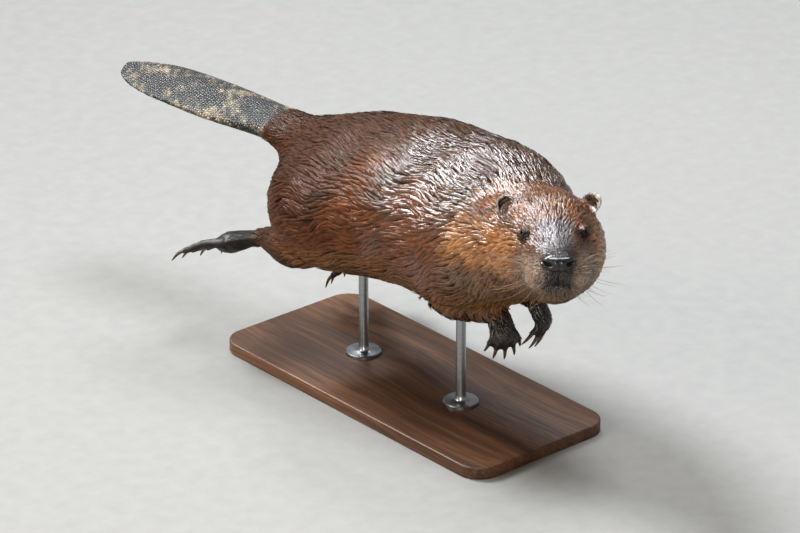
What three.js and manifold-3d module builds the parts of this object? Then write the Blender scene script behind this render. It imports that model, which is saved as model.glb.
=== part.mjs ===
// A life-size swimming beaver on a plain display stand.
// Millimetres, +Z up. The origin is the middle of the underside of the stand's base.
// The beaver swims towards -Y, with its own left side on +X. Its head and its tail both turn a little to its right.
//
// Flesh is described as rounded lumps that melt into each other. A capsule is shrunk on to them along rays from a bone
// line, and the closed skin that this gives is parted with thin planes into head, neck, trunk and tail base.
import * as THREE from "three";
import { mergeVertices } from "three/addons/utils/BufferGeometryUtils.js";
import Module from "manifold-3d";

const wasm = await Module();
wasm.setup();

// ---------------------------------------------------------------- driving sizes
const SWIM_LINE = 350; // height of the water line above the floor
const GAP = 0.3; // clearance between neighbouring pieces
const HEAD_TURN = -36; // degrees about +Z, towards the beaver's right
const NOSE_LIFT = 7; // degrees: nose, eyes and ears lie along the water
const TAIL_TURN = 11.5; // degrees about +Z: the blade bends to the same side

const EYE = { radius: 8, proud: 3.2 };
const EAR = { width: 30, height: 38, thick: 11 };
const BLADE = { length: 308, halfWidth: 58, rootHalfWidth: 40, rootHalfThick: 33, tipHalfThick: 4.5 };
const TOE_SPREAD = 12; // degrees between neighbouring hind toes
const HIND_TOES = [62, 78, 86, 82, 70]; // lengths from the inner toe to the outer one
const FINGERS = [15, 24, 27, 26, 20]; // lengths from the thumb outwards
const HIND_CLAW = { length: 19, radius: 4.4, tip: 0.9, flat: 0.6 };
const FORE_CLAW = { length: 18, radius: 3.1, tip: 0.6, flat: 1.25 };
const WEB_THICK = 2.4;

const BASE = { length: 560, width: 250, thick: 18, corner: 36, bevel: 2 };
const ROD = { radius: 7, footRadius: 26, footHeight: 5, y: [-105, 105], socket: 26 };

// ---------------------------------------------------------------- frames
// A place with its own axes: x to the left, y to the back and z up, turned by degrees about z, then x, then y.
function frame(parent, at, turn = 0, tip = 0, roll = 0) {
  const angles = new THREE.Euler(...[tip, roll, turn].map(THREE.MathUtils.degToRad), "ZXY");
  const place = new THREE.Matrix4().makeRotationFromEuler(angles).setPosition(...at);
  return parent ? parent.clone().multiply(place) : place;
}
const point = (place, at) => new THREE.Vector3(...at).applyMatrix4(place);

const BODY = frame(null, [0, 0, SWIM_LINE]);
const HEAD = frame(BODY, [-19, -304, -8], HEAD_TURN, -NOSE_LIFT);
const TAIL = frame(BODY, [-19, 243, -22], TAIL_TURN, 6);

// ---------------------------------------------------------------- flesh
// An ellipsoid of flesh. soft is the width over which it melts into what is already there.
function lump(place, at, radii, soft = 30) {
  const inverse = place.clone().multiply(new THREE.Matrix4().makeTranslation(...at)).invert();
  const r = new THREE.Vector3(...radii);
  const q = new THREE.Vector3();
  const distance = (p) => {
    q.copy(p).applyMatrix4(inverse).divide(r);
    const k0 = q.length();
    const k1 = q.divide(r).length();
    return k1 < 1e-9 ? -Math.min(...radii) : (k0 * (k0 - 1)) / k1;
  };
  return { distance, soft };
}

// A round bar of flesh that tapers from one end to the other.
function taper(place, from, to, fromRadius, toRadius, soft = 30) {
  const a = point(place, from);
  const axis = point(place, to).sub(a);
  const q = new THREE.Vector3();
  const distance = (p) => {
    const t = THREE.MathUtils.clamp(q.copy(p).sub(a).dot(axis) / axis.lengthSq(), 0, 1);
    return q.addScaledVector(axis, -t).length() - THREE.MathUtils.lerp(fromRadius, toRadius, t);
  };
  return { distance, soft };
}

function melt(a, b, soft) {
  const h = Math.max(soft - Math.abs(a - b), 0) / soft;
  return Math.min(a, b) - (h * h * soft) / 4;
}
const both = (make) => [-1, 1].map(make); // the right side's piece, then the left side's

const FLESH = [
  // trunk
  lump(BODY, [10, -165, -46], [102, 105, 96]), // chest
  lump(BODY, [10, -75, -46], [128, 155, 110], 60), // ribs
  lump(BODY, [2, 20, -62], [134, 140, 104], 60), // loin
  lump(BODY, [-8, 92, -78], [124, 108, 88], 60), // rump
  ...both((side) => lump(BODY, [-8 + side * 90, 96, -88], [48, 84, 68], 40)), // haunches
  ...both((side) => lump(BODY, [8 + side * 66, -140, -84], [40, 72, 60], 40)), // shoulders
  taper(BODY, [-10, 120, -60], [-18, 226, -28], 76, 27, 70), // furry root of the tail
  lump(TAIL, [0, -2, -2], [43, 46, 24], 24),
  // neck
  taper(BODY, [8, -170, -34], [-6, -280, -20], 86, 68, 60),
  // head
  lump(HEAD, [0, 4, 6], [60, 68, 54]), // cranium
  lump(HEAD, [0, -38, 6], [38, 50, 37], 24), // forehead
  ...both((side) => lump(HEAD, [side * 38, 4, -16], [38, 50, 46], 24)), // cheeks
  ...both((side) => lump(HEAD, [side * 27, -38, -18], [28, 42, 34], 20)), // jaw muscles
  lump(HEAD, [0, -70, -8], [38, 36, 31], 20), // muzzle
  lump(HEAD, [0, -88, 0], [28, 18, 20], 10), // snout
  ...both((side) => lump(HEAD, [side * 23, -80, -20], [23, 25, 23], 10)), // whisker pads
  lump(HEAD, [0, -66, -46], [28, 30, 18], 14), // lower jaw
  lump(HEAD, [0, 0, -44], [50, 66, 34]), // throat
  ...both((side) => lump(HEAD, [side * 28, -44, 27], [11, 20, 8], 12)), // brows
];
const skinDistance = (p) => FLESH.reduce((d, f) => melt(d, f.distance(p), f.soft), 1e3);

// ---------------------------------------------------------------- shapes
// A capsule laid along a curve. reach gives how far each vertex stands from the curve, for its direction and place.
function along(curve, { sides, rows, caps }, reach, up = new THREE.Vector3(0, 0, 1)) {
  const half = 5;
  const shape = new THREE.CapsuleGeometry(1, 2 * half, caps, sides, rows);
  const spots = shape.attributes.position;
  const v = new THREE.Vector3();
  for (let i = 0; i < spots.count; i++) {
    v.fromBufferAttribute(spots, i);
    const axial = THREE.MathUtils.clamp(v.y, -half, half);
    const t = (axial + half) / (2 * half);
    const forward = curve.getTangentAt(t);
    const side = forward.clone().cross(up).normalize();
    const over = side.clone().cross(forward);
    const out = side.multiplyScalar(v.x).addScaledVector(forward, v.y - axial).addScaledVector(over, v.z);
    const start = curve.getPointAt(t);
    start.addScaledVector(out, reach(start, out.normalize(), t));
    spots.setXYZ(i, ...start);
  }
  return shape;
}

// How far a ray from inside the flesh runs before it leaves a skin that lies grow outside the flesh.
const STRIDE = 4;
const FARTHEST = 260;
function skinReach(start, out, grow = 0) {
  const p = new THREE.Vector3();
  const outside = (reach) => skinDistance(p.copy(start).addScaledVector(out, reach)) > grow;
  let far = STRIDE;
  while (far < FARTHEST && !outside(far)) far += STRIDE;
  let near = far - STRIDE;
  for (let i = 0; i < 12; i++) {
    const middle = (near + far) / 2;
    if (outside(middle)) far = middle;
    else near = middle;
  }
  return (near + far) / 2;
}
const wrap = (curve, detail, grow) => along(curve, detail, (start, out) => skinReach(start, out, grow));

// A closed limb through some places, with a radius at each. flat narrows it across the plane that holds up.
function limb(place, places, radii, { sides = 8, rows = 6, caps = 2, flat = 1, grow = 0, up } = {}) {
  const curve = new THREE.CatmullRomCurve3(places.map((at) => point(place, at)));
  const across = (up || new THREE.Vector3(0, 0, 1).transformDirection(place)).clone();
  return along(
    curve,
    { sides, rows, caps },
    (start, out, t) => {
      const s = t * (radii.length - 1);
      const i = Math.min(Math.floor(s), radii.length - 2);
      const radius = THREE.MathUtils.lerp(radii[i], radii[i + 1], s - i) + grow;
      const rise = Math.abs(out.dot(across));
      return radius * (1 + (flat - 1) * rise);
    },
    across,
  );
}

// An ellipsoid in a frame, as a mesh.
function bead(place, at, radii, sides = 14, rows = 10) {
  const shape = new THREE.SphereGeometry(1, sides, rows).scale(...radii).translate(...at);
  return shape.applyMatrix4(place);
}

// ---------------------------------------------------------------- joining and cutting
function solid(shape) {
  const bare = new THREE.BufferGeometry().setAttribute("position", shape.attributes.position);
  if (shape.index) bare.setIndex(shape.index);
  const merged = mergeVertices(bare, 1e-3);
  const corners = [];
  for (let i = 0; i < merged.index.count; i += 3) {
    const [a, b, c] = [0, 1, 2].map((k) => merged.index.getX(i + k));
    if (a !== b && b !== c && a !== c) corners.push(a, b, c);
  }
  const vertProperties = new Float32Array(merged.attributes.position.array);
  return new wasm.Manifold(new wasm.Mesh({ numProp: 3, vertProperties, triVerts: new Uint32Array(corners) }));
}

function shapeOf(made) {
  const m = made.getMesh();
  const shape = new THREE.BufferGeometry();
  shape.setAttribute("position", new THREE.BufferAttribute(new Float32Array(m.vertProperties), 3));
  shape.setIndex(new THREE.BufferAttribute(new Uint32Array(m.triVerts), 1));
  shape.computeVertexNormals();
  return shape;
}

const joined = (shapes) => shapes.map(solid).reduce((a, b) => a.add(b));

// A block that fills the side of a plane to which its normal points.
const BLOCK = 1500;
function beyond(at, normal) {
  const shape = new THREE.BoxGeometry(BLOCK, BLOCK, BLOCK).translate(0, 0, BLOCK / 2);
  const turn = new THREE.Quaternion().setFromUnitVectors(new THREE.Vector3(0, 0, 1), normal);
  return solid(shape.applyQuaternion(turn).translate(...at));
}

// The part of a solid between two seams, each a place and a direction that points to the tail.
function between(made, front, rear) {
  let kept = made;
  const half = GAP / 2;
  if (front) {
    const n = front.normal.clone().negate();
    kept = kept.subtract(beyond(front.at.clone().addScaledVector(n, -half), n));
  }
  if (rear) kept = kept.subtract(beyond(rear.at.clone().addScaledVector(rear.normal, -half), rear.normal));
  return kept;
}
const backwards = (place) => new THREE.Vector3(0, 1, 0).transformDirection(place);
const seam = (place, at, turn) => ({ at: point(place, at), normal: backwards(frame(place, [0, 0, 0], turn)) });

// ---------------------------------------------------------------- finishes
const finish = (color, roughness, metalness = 0) => new THREE.MeshStandardMaterial({ color, roughness, metalness });
const FUR = finish(0x5b3720, 0.55);
const FACE_FUR = finish(0x6b452b, 0.55);
const SCALES = finish(0x3b3833, 0.5);
const SKIN = finish(0x2f2b28, 0.6);
const CLAW = finish(0x2a2420, 0.4);
const NOSE = finish(0x141214, 0.3);
const EYEBALL = finish(0x0b0807, 0.08);
const STEEL = finish(0x9a9c9e, 0.35, 1);
const WOOD = finish(0x4c3322, 0.45);

const beaver = new THREE.Group();
function place(name, made, material) {
  const mesh = new THREE.Mesh(shapeOf(made), material);
  mesh.name = name;
  beaver.add(mesh);
}

// ---------------------------------------------------------------- body
const spine = new THREE.CatmullRomCurve3(
  [
    [-8, -275, -18],
    [6, -180, -44],
    [8, -60, -48],
    [-4, 80, -64],
    [-17, 226, -30],
  ].map((at) => point(BODY, at)),
);
const skull = new THREE.LineCurve3(point(HEAD, [0, 44, -8]), point(HEAD, [0, -66, -10]));
const BODY_DETAIL = { sides: 24, rows: 20, caps: 4 };
const HEAD_DETAIL = { sides: 24, rows: 8, caps: 6 };
const bodySolid = (grow) => solid(wrap(spine, BODY_DETAIL, grow));
const headSolid = (grow) => solid(wrap(skull, HEAD_DETAIL, grow));

const nape = seam(HEAD, [0, 46, 0], 0);
const withers = seam(BODY, [8, -172, 0], -12);
const tailHead = seam(BODY, [-14, 176, 0], 6);
const bladeRoot = seam(TAIL, [0, 12, 0], 0);

// ---------------------------------------------------------------- head pieces
// An eyeball sunk in the skin, on the line from the middle of the head to the eye.
function eyeBead(side, grow) {
  const start = point(HEAD, [side * 6, -46, 10]);
  const out = point(HEAD, [side * 34, -50, 24]).sub(start).normalize();
  const centre = start.clone().addScaledVector(out, skinReach(start, out) + EYE.proud - EYE.radius);
  return solid(bead(new THREE.Matrix4().setPosition(centre), [0, 0, 0], Array(3).fill(EYE.radius + grow), 10, 7));
}

const NOSE_AT = [0, -102, 4];
const noseBead = (grow) => solid(bead(HEAD, NOSE_AT, [20 + grow, 11 + grow, 13 + grow], 12, 8));
function nose() {
  const nostrils = both((side) => bead(frame(HEAD, [side * 11, -111, 3], side * 20, 0, side * -35), [0, 0, 0], [3.2, 6, 4.6], 6, 4));
  return nostrils.map(solid).reduce((made, hole) => made.subtract(hole), noseBead(0));
}

// A small round cup that opens forwards and outwards.
function ear(side) {
  const root = frame(HEAD, [side * 51, 16, 38], side * -30, -12, side * 40);
  const shell = bead(root, [0, 0, 10], [EAR.width / 2, EAR.thick / 2, EAR.height / 2], 10, 7);
  const hollow = bead(root, [0, -4.6, 12], [EAR.width / 2 - 2.6, EAR.thick / 2, EAR.height / 2 - 2.8], 10, 7);
  return solid(shell).subtract(solid(hollow));
}

const eyes = both((side) => eyeBead(side, 0));
const sockets = both((side) => eyeBead(side, GAP));
const ears = both(ear);
const noseCut = noseBead(GAP);
const headGrown = headSolid(GAP);
const head = [...sockets, noseCut].reduce((made, cut) => made.subtract(cut), headSolid(0));
place("head", between(head, null, nape), FACE_FUR);
place("nose", nose(), NOSE);
["right", "left"].forEach((side, i) => {
  place(`eye_${side}`, eyes[i], EYEBALL);
  place(`ear_${side}`, ears[i].subtract(headGrown), FACE_FUR);
});

// ---------------------------------------------------------------- stand
const rodShape = (y, top) => {
  const { radius, footRadius, footHeight } = ROD;
  const profile = [
    [0, 0],
    [footRadius, 0],
    [footRadius, footHeight - 1],
    [footRadius - 1, footHeight],
    [radius + 3, footHeight],
    [radius, footHeight + 3],
    [radius, top],
    [0, top],
  ].map(([r, z]) => new THREE.Vector2(r, z));
  return new THREE.LatheGeometry(profile, 14).rotateX(Math.PI / 2).translate(0, y, BASE.thick);
};

// How high the beaver's underside is above one spot of the floor.
function bellyHeight(y) {
  const p = new THREE.Vector3(0, y, SWIM_LINE - 60);
  while (skinDistance(p) < 0) p.z -= 1;
  return p.z;
}
const rodTops = ROD.y.map((y) => bellyHeight(y) + ROD.socket - BASE.thick);
const rods = ROD.y.map((y, i) => solid(rodShape(y, rodTops[i])));
const rodHoles = ROD.y.map((y, i) => {
  const hole = new THREE.CylinderGeometry(ROD.radius + GAP, ROD.radius + GAP, rodTops[i] + GAP, 14);
  return solid(hole.rotateX(Math.PI / 2).translate(0, y, BASE.thick + (rodTops[i] + GAP) / 2));
});

function baseShape() {
  const { length, width, thick, corner, bevel } = BASE;
  const [x, y] = [width / 2 - bevel, length / 2 - bevel];
  const outline = new THREE.Shape();
  outline.moveTo(x, -y + corner).lineTo(x, y - corner);
  outline.absarc(x - corner, y - corner, corner, 0, Math.PI / 2);
  outline.absarc(-x + corner, y - corner, corner, Math.PI / 2, Math.PI);
  outline.absarc(-x + corner, -y + corner, corner, Math.PI, 1.5 * Math.PI);
  outline.absarc(x - corner, -y + corner, corner, 1.5 * Math.PI, 2 * Math.PI);
  const options = { depth: thick - 2 * bevel, bevelThickness: bevel, bevelSize: bevel, bevelSegments: 1, curveSegments: 4 };
  return new THREE.ExtrudeGeometry(outline, options).translate(0, 0, bevel);
}
place("stand_base", solid(baseShape()), WOOD);
["front", "rear"].forEach((end, i) => place(`stand_rod_${end}`, rods[i], STEEL));

// ---------------------------------------------------------------- neck, trunk and tail base
const whole = rodHoles.reduce((made, hole) => made.subtract(hole), bodySolid(0));
const bodyGrown = bodySolid(GAP);
place("neck", between(whole, nape, withers), FUR);
place("trunk", between(whole, withers, tailHead), FUR);
place("tail_base", between(whole, tailHead, bladeRoot), FUR);

// ---------------------------------------------------------------- tail blade
// A flat paddle: widest past its middle, blunt at the tip, thickest along a low keel.
function bladeShape(grow = 0) {
  const { length, halfWidth, rootHalfWidth, rootHalfThick, tipHalfThick } = BLADE;
  const shape = new THREE.SphereGeometry(1, 18, 20);
  const spots = shape.attributes.position;
  const rootLength = 30; // hidden inside the tail base
  for (let i = 0; i < spots.count; i++) {
    const t = (1 + spots.getY(i)) / 2;
    const ring = Math.hypot(spots.getX(i), spots.getZ(i)) || 1e-9;
    const [u, w] = [spots.getX(i) / ring, spots.getZ(i) / ring];
    const swell = THREE.MathUtils.smoothstep(t, 0.02, 0.5);
    const blunt = Math.sqrt(Math.max(0, 1 - Math.pow(Math.max(0, (t - 0.62) / 0.38), 2.6)));
    const start = Math.sqrt(Math.min(1, t / 0.03));
    const halfAcross = (THREE.MathUtils.lerp(rootHalfWidth, halfWidth, swell) * blunt + grow) * start;
    const thin = THREE.MathUtils.lerp(rootHalfThick, tipHalfThick, Math.pow(t, 0.35));
    const halfThick = (thin * Math.pow(blunt, 0.35) + grow) * start;
    const x = u * halfAcross;
    const keel = 1 + 0.18 * Math.exp(-Math.pow(u / 0.3, 2));
    const lens = Math.sign(w) * Math.pow(Math.abs(w), 0.9) * halfThick * keel;
    const y = -rootLength + t * (length + rootLength);
    const droop = -10 * t * t - 5 * u * u * swell;
    spots.setXYZ(i, x, y, lens + droop);
  }
  return shape.applyMatrix4(TAIL);
}
place("tail_blade", between(solid(bladeShape()), bladeRoot, null), SCALES);

// ---------------------------------------------------------------- feet
// A curved claw from the tip of a toe, pointing on along it and down.
function claw(root, direction, down, size, grow = 0) {
  const { length, radius, tip, flat } = size;
  const at = (run, fall) => root.clone().addScaledVector(direction, run).addScaledVector(down, fall).toArray();
  const places = [at(-4, -1), at(length * 0.5, -1), at(length, length * 0.22)];
  const up = down.clone().negate();
  return limb(new THREE.Matrix4(), places, [radius, radius * 0.75, tip], { sides: 5, rows: 2, caps: 1, flat, grow, up });
}

// The toes of a foot, as a list of limbs, each with its claw. A digit has its places in the foot's frame.
function digits(foot, list, clawSize) {
  const down = new THREE.Vector3(0, 0, -1).transformDirection(foot);
  return list.map(({ places, radii }) => {
    const toe = limb(foot, places, radii, { sides: 5, rows: 2, caps: 1 });
    const [tip, before] = [places.at(-1), places.at(-2)].map((at) => point(foot, at));
    const direction = tip.clone().sub(before).normalize();
    const root = tip.clone().addScaledVector(direction, radii.at(-1) * 0.4);
    const [made, grown] = [0, GAP].map((grow) => solid(claw(root, direction, down, clawSize, grow)));
    return { toe, claw: made, clawGrown: grown };
  });
}

// Hind toes fan out from the foot; frames point them along +y, with the outer side on +x.
function hindToes() {
  return HIND_TOES.map((length, i) => {
    const spread = THREE.MathUtils.degToRad((i - 2) * TOE_SPREAD);
    const reach = (run) => [(i - 2) * 10 + Math.sin(spread) * run, 58 + Math.cos(spread) * run];
    const places = [0, length * 0.4, length * 0.75, length].map((run, k) => [...reach(run), [0, 3, 2, -3][k]]);
    return { places, radii: [9, 7.5, 6.5, 5.5] };
  });
}

// The web is a fan between the toes, with a hollow edge from each toe's tip to the next.
function webShape(toes) {
  const tips = toes.map(({ places }) => new THREE.Vector2(...places.at(-1)));
  const web = new THREE.Shape().moveTo(-18, 44).lineTo(tips[0].x, tips[0].y - 6);
  for (let i = 1; i < tips.length; i++) {
    const middle = tips[i - 1].clone().add(tips[i]).multiplyScalar(0.5);
    middle.multiplyScalar(0.86);
    web.quadraticCurveTo(middle.x, middle.y, tips[i].x, tips[i].y - 6);
  }
  web.lineTo(18, 44).lineTo(-18, 44);
  const options = { depth: WEB_THICK, bevelEnabled: false, curveSegments: 2 };
  return new THREE.ExtrudeGeometry(web, options).translate(0, 0, -WEB_THICK / 2);
}

function hindFoot(foot) {
  const toes = hindToes();
  const sole = limb(foot, [[0, -6, 0], [0, 28, 1], [0, 62, 0]], [17, 20, 27], { sides: 10, rows: 4, caps: 2, flat: 0.62 });
  return { palm: [sole, webShape(toes).applyMatrix4(foot)], digits: digits(foot, toes, HIND_CLAW) };
}

function forePaw(paw, side) {
  const fingers = FINGERS.map((length, i) => {
    const spread = THREE.MathUtils.degToRad((i - 2) * 15) * side;
    const reach = (run) => [(i - 2) * 6.6 * side + Math.sin(spread) * run, 20 + Math.cos(spread) * run];
    const places = [0, 0.5, 0.85].map((part, k) => [...reach(part * length), [0, -1, -12][k]]);
    return { places, radii: [6.2, 5.4, 4.4] };
  });
  const palm = limb(paw, [[0, -10, 0], [0, 6, 0], [0, 22, 0]], [16, 19, 20], { sides: 8, rows: 3, caps: 2, flat: 0.62 });
  return { palm: [palm], digits: digits(paw, fingers, FORE_CLAW) };
}

// Joins a foot, cuts the claws' roots out of it, and keeps both a little clear of the leg.
function placeFoot(name, { palm, digits: toes }, legGrown) {
  let foot = joined([...palm, ...toes.map(({ toe }) => toe)]);
  for (const { clawGrown } of toes) foot = foot.subtract(clawGrown);
  place(name, foot.subtract(legGrown), SKIN);
  toes.forEach(({ claw: made }, i) => place(`claw_${name}_${i + 1}`, made, CLAW));
}

// ---------------------------------------------------------------- legs
const side = { right: -1, left: 1 };
const LEGS = {
  right: {
    fore: { places: [[-50, -140, -104], [-54, -126, -140], [-26, -200, -150]], paw: [[-24, -210, -154], 168, -58, 12] },
    hind: { places: [[-88, 88, -112], [-102, 126, -140], [-98, 198, -154]], foot: [[-98, 210, -158], 12, -22, 14] },
  },
  left: {
    fore: { places: [[66, -140, -104], [70, -126, -140], [42, -204, -146]], paw: [[40, -214, -150], 192, -58, -12] },
    hind: { places: [[74, 66, -116], [86, 84, -164], [88, 138, -196]], foot: [[88, 148, -204], -8, -34, -10] },
  },
};
for (const name of ["right", "left"]) {
  const { fore, hind } = LEGS[name];
  const foreLeg = (grow) => solid(limb(BODY, fore.places, [30, 27, 17], { sides: 12, rows: 6, caps: 2, grow }));
  const hindLeg = (grow) => solid(limb(BODY, hind.places, [40, 33, 18], { sides: 12, rows: 6, caps: 2, grow }));
  place(`foreleg_${name}`, foreLeg(0).subtract(bodyGrown), FUR);
  place(`hindleg_${name}`, hindLeg(0).subtract(bodyGrown), FUR);
  placeFoot(`forepaw_${name}`, forePaw(frame(BODY, ...fore.paw), side[name]), foreLeg(GAP).add(bodyGrown));
  placeFoot(`hindfoot_${name}`, hindFoot(frame(BODY, ...hind.foot)), hindLeg(GAP).add(bodyGrown));
}

export default beaver;
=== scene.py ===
import math

import bpy
import numpy as np
from mathutils import Matrix, Vector
from mathutils.bvhtree import BVHTree
from mathutils.kdtree import KDTree


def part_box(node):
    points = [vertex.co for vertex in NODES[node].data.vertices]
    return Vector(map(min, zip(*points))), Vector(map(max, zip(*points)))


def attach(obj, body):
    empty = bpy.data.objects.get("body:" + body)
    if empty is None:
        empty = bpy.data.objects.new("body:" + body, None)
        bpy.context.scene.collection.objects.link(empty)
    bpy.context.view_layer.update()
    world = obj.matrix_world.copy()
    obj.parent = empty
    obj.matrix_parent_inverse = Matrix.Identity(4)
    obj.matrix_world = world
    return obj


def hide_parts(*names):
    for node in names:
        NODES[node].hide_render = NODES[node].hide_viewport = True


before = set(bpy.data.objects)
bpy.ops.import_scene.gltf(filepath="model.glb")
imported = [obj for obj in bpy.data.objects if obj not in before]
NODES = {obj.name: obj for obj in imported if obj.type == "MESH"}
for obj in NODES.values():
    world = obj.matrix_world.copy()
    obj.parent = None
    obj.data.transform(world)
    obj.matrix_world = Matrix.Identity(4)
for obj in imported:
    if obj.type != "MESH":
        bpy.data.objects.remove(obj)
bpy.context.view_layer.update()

MM = 0.001
TURN = 2 * math.pi
BACK, UP = np.array([0, 1.0, 0]), np.array([0, 0, 1.0])
SIGN = {"right": -1, "left": 1}
SIDES = tuple(SIGN)
DIGITS = range(1, 6)


# ---- small tools for vectors and meshes

def unit(v):
    v = np.asarray(v, float)
    return v / np.maximum(np.linalg.norm(v, axis=-1, keepdims=True), 1e-12)


def along_with(v, way):
    """v or its opposite, whichever points the same way."""
    return v * np.sign(v @ way)


def flat_on(v, normal):
    """The unit direction of v along the surface that has this normal."""
    return unit(v - normal * (v * normal).sum(1)[:, None])


def distance(spots, centre):
    return np.linalg.norm(spots - centre, axis=1)


def middle(node):
    return np.mean(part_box(node), axis=0)


def read(items, name, width, kind=float):
    """What a mesh holds for each of its items, as rows of an array."""
    flat = np.empty(len(items) * width, kind)
    items.foreach_get(name, flat)
    return flat.reshape(-1, width)


def mesh_points(mesh):
    return read(mesh.vertices, "co", 3)


def point_normals(mesh):
    return read(mesh.vertex_normals, "vector", 3)


def mesh_edges(mesh):
    return read(mesh.edges, "vertices", 2, np.int64)


def move_points(mesh, spots):
    mesh.vertices.foreach_set("co", np.ascontiguousarray(spots, dtype=np.float32).ravel())
    mesh.update()


def swell(mesh, by):
    move_points(mesh, mesh_points(mesh) + point_normals(mesh) * by)


def store(mesh, name, values):
    """Keeps a number or a colour for each point of a mesh, for the materials to read."""
    values = np.asarray(values, dtype=np.float32)
    if values.ndim == 1:
        mesh.attributes.new(name, "FLOAT", "POINT").data.foreach_set("value", values)
    else:
        opaque = np.ones((len(values), 1), dtype=np.float32)
        layer = mesh.attributes.new(name, "FLOAT_COLOR", "POINT")
        layer.data.foreach_set("color", np.hstack([values, opaque]).ravel())


def main_axes(node):
    """The long, wide and thin directions of a CAD node."""
    spots = mesh_points(NODES[node].data)
    return np.linalg.svd(spots - spots.mean(0), full_matrices=False)[2]


def placed(name, data):
    made = bpy.data.objects.new(name, data)
    bpy.context.scene.collection.objects.link(made)
    return made


def primitive(name, operator, **settings):
    """A new mesh piece from one of the primitive operators."""
    operator(**settings)
    made = bpy.context.object
    made.name = made.data.name = name
    return made


def only(*objects):
    if bpy.context.object and bpy.context.object.mode != "OBJECT":
        bpy.ops.object.mode_set(mode="OBJECT")
    bpy.ops.object.select_all(action="DESELECT")
    for one in objects:
        one.select_set(True)
    bpy.context.view_layer.objects.active = objects[0]


def joined(name, *pieces):
    """The pieces as one, under a new name."""
    only(*pieces)
    bpy.ops.object.join()
    pieces[0].name = pieces[0].data.name = name
    return pieces[0]


def apply_place(piece):
    only(piece)
    bpy.ops.object.transform_apply(location=True, rotation=True, scale=True)


def apply_modifier(piece, kind, **settings):
    only(piece)
    made = piece.modifiers.new(kind.title(), kind)
    for name, value in settings.items():
        setattr(made, name, value)
    bpy.ops.object.modifier_apply(modifier=made.name)


def in_edit(piece, *steps, chosen=None, kind="VERT"):
    """Runs edit-mode operators on all of a mesh, or on its chosen faces, or edges with kind EDGE."""
    only(piece)
    bpy.ops.object.mode_set(mode="EDIT")
    if chosen is None:
        bpy.ops.mesh.select_all(action="SELECT")
    else:
        bpy.ops.mesh.select_mode(type=kind)
        bpy.ops.mesh.select_all(action="DESELECT")
        bpy.ops.object.mode_set(mode="OBJECT")
        items = piece.data.edges if kind == "EDGE" else piece.data.polygons
        items.foreach_set("select", chosen)
        bpy.ops.object.mode_set(mode="EDIT")
    for step in steps:
        step()
    bpy.ops.object.mode_set(mode="OBJECT")


def merge_doubles():
    bpy.ops.mesh.remove_doubles(threshold=0.02 * MM)


def face_outwards():
    bpy.ops.mesh.normals_make_consistent(inside=False)


def cad_copy(node):
    """A loose copy of a CAD node with its doubled corners merged."""
    copy = NODES[node].copy()
    copy.data = NODES[node].data.copy()
    copy.parent = None
    copy.matrix_world = Matrix.Identity(4)
    copy.data.materials.clear()
    bpy.context.scene.collection.objects.link(copy)
    in_edit(copy, merge_doubles)
    return copy


def spread(values, edges, share):
    """Moves each value towards the mean of its neighbours by its share."""
    count = len(values)
    a, b = edges.T
    degree = np.maximum(np.bincount(a, minlength=count) + np.bincount(b, minlength=count), 1)
    out = np.empty_like(values)
    for k in range(values.shape[1]):
        total = np.bincount(a, values[b, k], count) + np.bincount(b, values[a, k], count)
        out[:, k] = values[:, k] + share * (total / degree - values[:, k])
    return out


def relax(values, edges, rounds, share=0.6, keep_size=False):
    """Smooths values over the mesh; keep_size alternates so that a form doesn't shrink."""
    for _ in range(rounds):
        values = spread(values, edges, share)
        if keep_size:
            values = spread(values, edges, -share * 1.03)
    return values


def smooth(t, low, high):
    """Rises softly from 0 at low to 1 at high."""
    t = np.clip((np.asarray(t, float) - low) / (high - low), 0, 1)
    return t * t * (3 - 2 * t)


def ridge(t, width):
    """A soft ridge of height 1 where t is 0."""
    return np.exp(-(t / width) ** 2)


def hill(points, centre, reach):
    """A soft round hill of height 1 about centre, with a reach for each axis."""
    return np.exp(-(((points - np.array(centre)) / np.array(reach)) ** 2).sum(-1))


def mixed(a, b, t):
    t = np.asarray(t, float)[..., None]
    return a * (1 - t) + b * t


def waves(points, size, seed):
    """Smooth noise from a few crossed waves, about -1 to 1, with bumps of the given size."""
    picks, count = np.random.default_rng(seed), 5
    total = np.zeros(len(points))
    for _ in range(count):
        wave = unit(picks.normal(size=3)) * TURN / size * picks.uniform(0.7, 1.5)
        total += np.sin(points @ wave + picks.uniform(0, 6.28))
    return total / math.sqrt(count)


# ---- the animal's own directions

MUZZLE_DROP = math.radians(22.9)   # from the head's own level down to the line from the eyes to the nose
NOSE_AHEAD, NOSE_UP = 102 * MM, 4 * MM
EYE = {side: middle(f"eye_{side}") for side in SIDES}
NOSE = middle("nose")
ACROSS = unit(EYE["left"] - EYE["right"])                  # towards the beaver's own left
DOWN_NOSE = Vector(unit(NOSE - (EYE["left"] + EYE["right"]) / 2))
TILTED = [Matrix.Rotation(drop, 3, Vector(ACROSS)) @ DOWN_NOSE for drop in (-MUZZLE_DROP, MUZZLE_DROP)]
AHEAD = np.array(max(TILTED, key=lambda way: way.z))
ABOVE = along_with(unit(np.cross(AHEAD, ACROSS)), UP)
HEAD = NOSE - AHEAD * NOSE_AHEAD - ABOVE * NOSE_UP         # where neck and skull meet
HEAD_AXES = np.array([ACROSS, -AHEAD, ABOVE])              # across, back, up
TAIL_LONG, _, TAIL_UP = main_axes("tail_blade")
TAIL_LONG, TAIL_UP = along_with(TAIL_LONG, BACK), along_with(TAIL_UP, UP)
TAIL_WIDE = np.cross(TAIL_UP, TAIL_LONG)


def to_head(points):
    """Places in millimetres along the head's own axes: left, back and up."""
    return (np.asarray(points) - HEAD) @ HEAD_AXES.T / MM


def from_head(points):
    return np.asarray(points, float) * MM @ HEAD_AXES + HEAD


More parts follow.
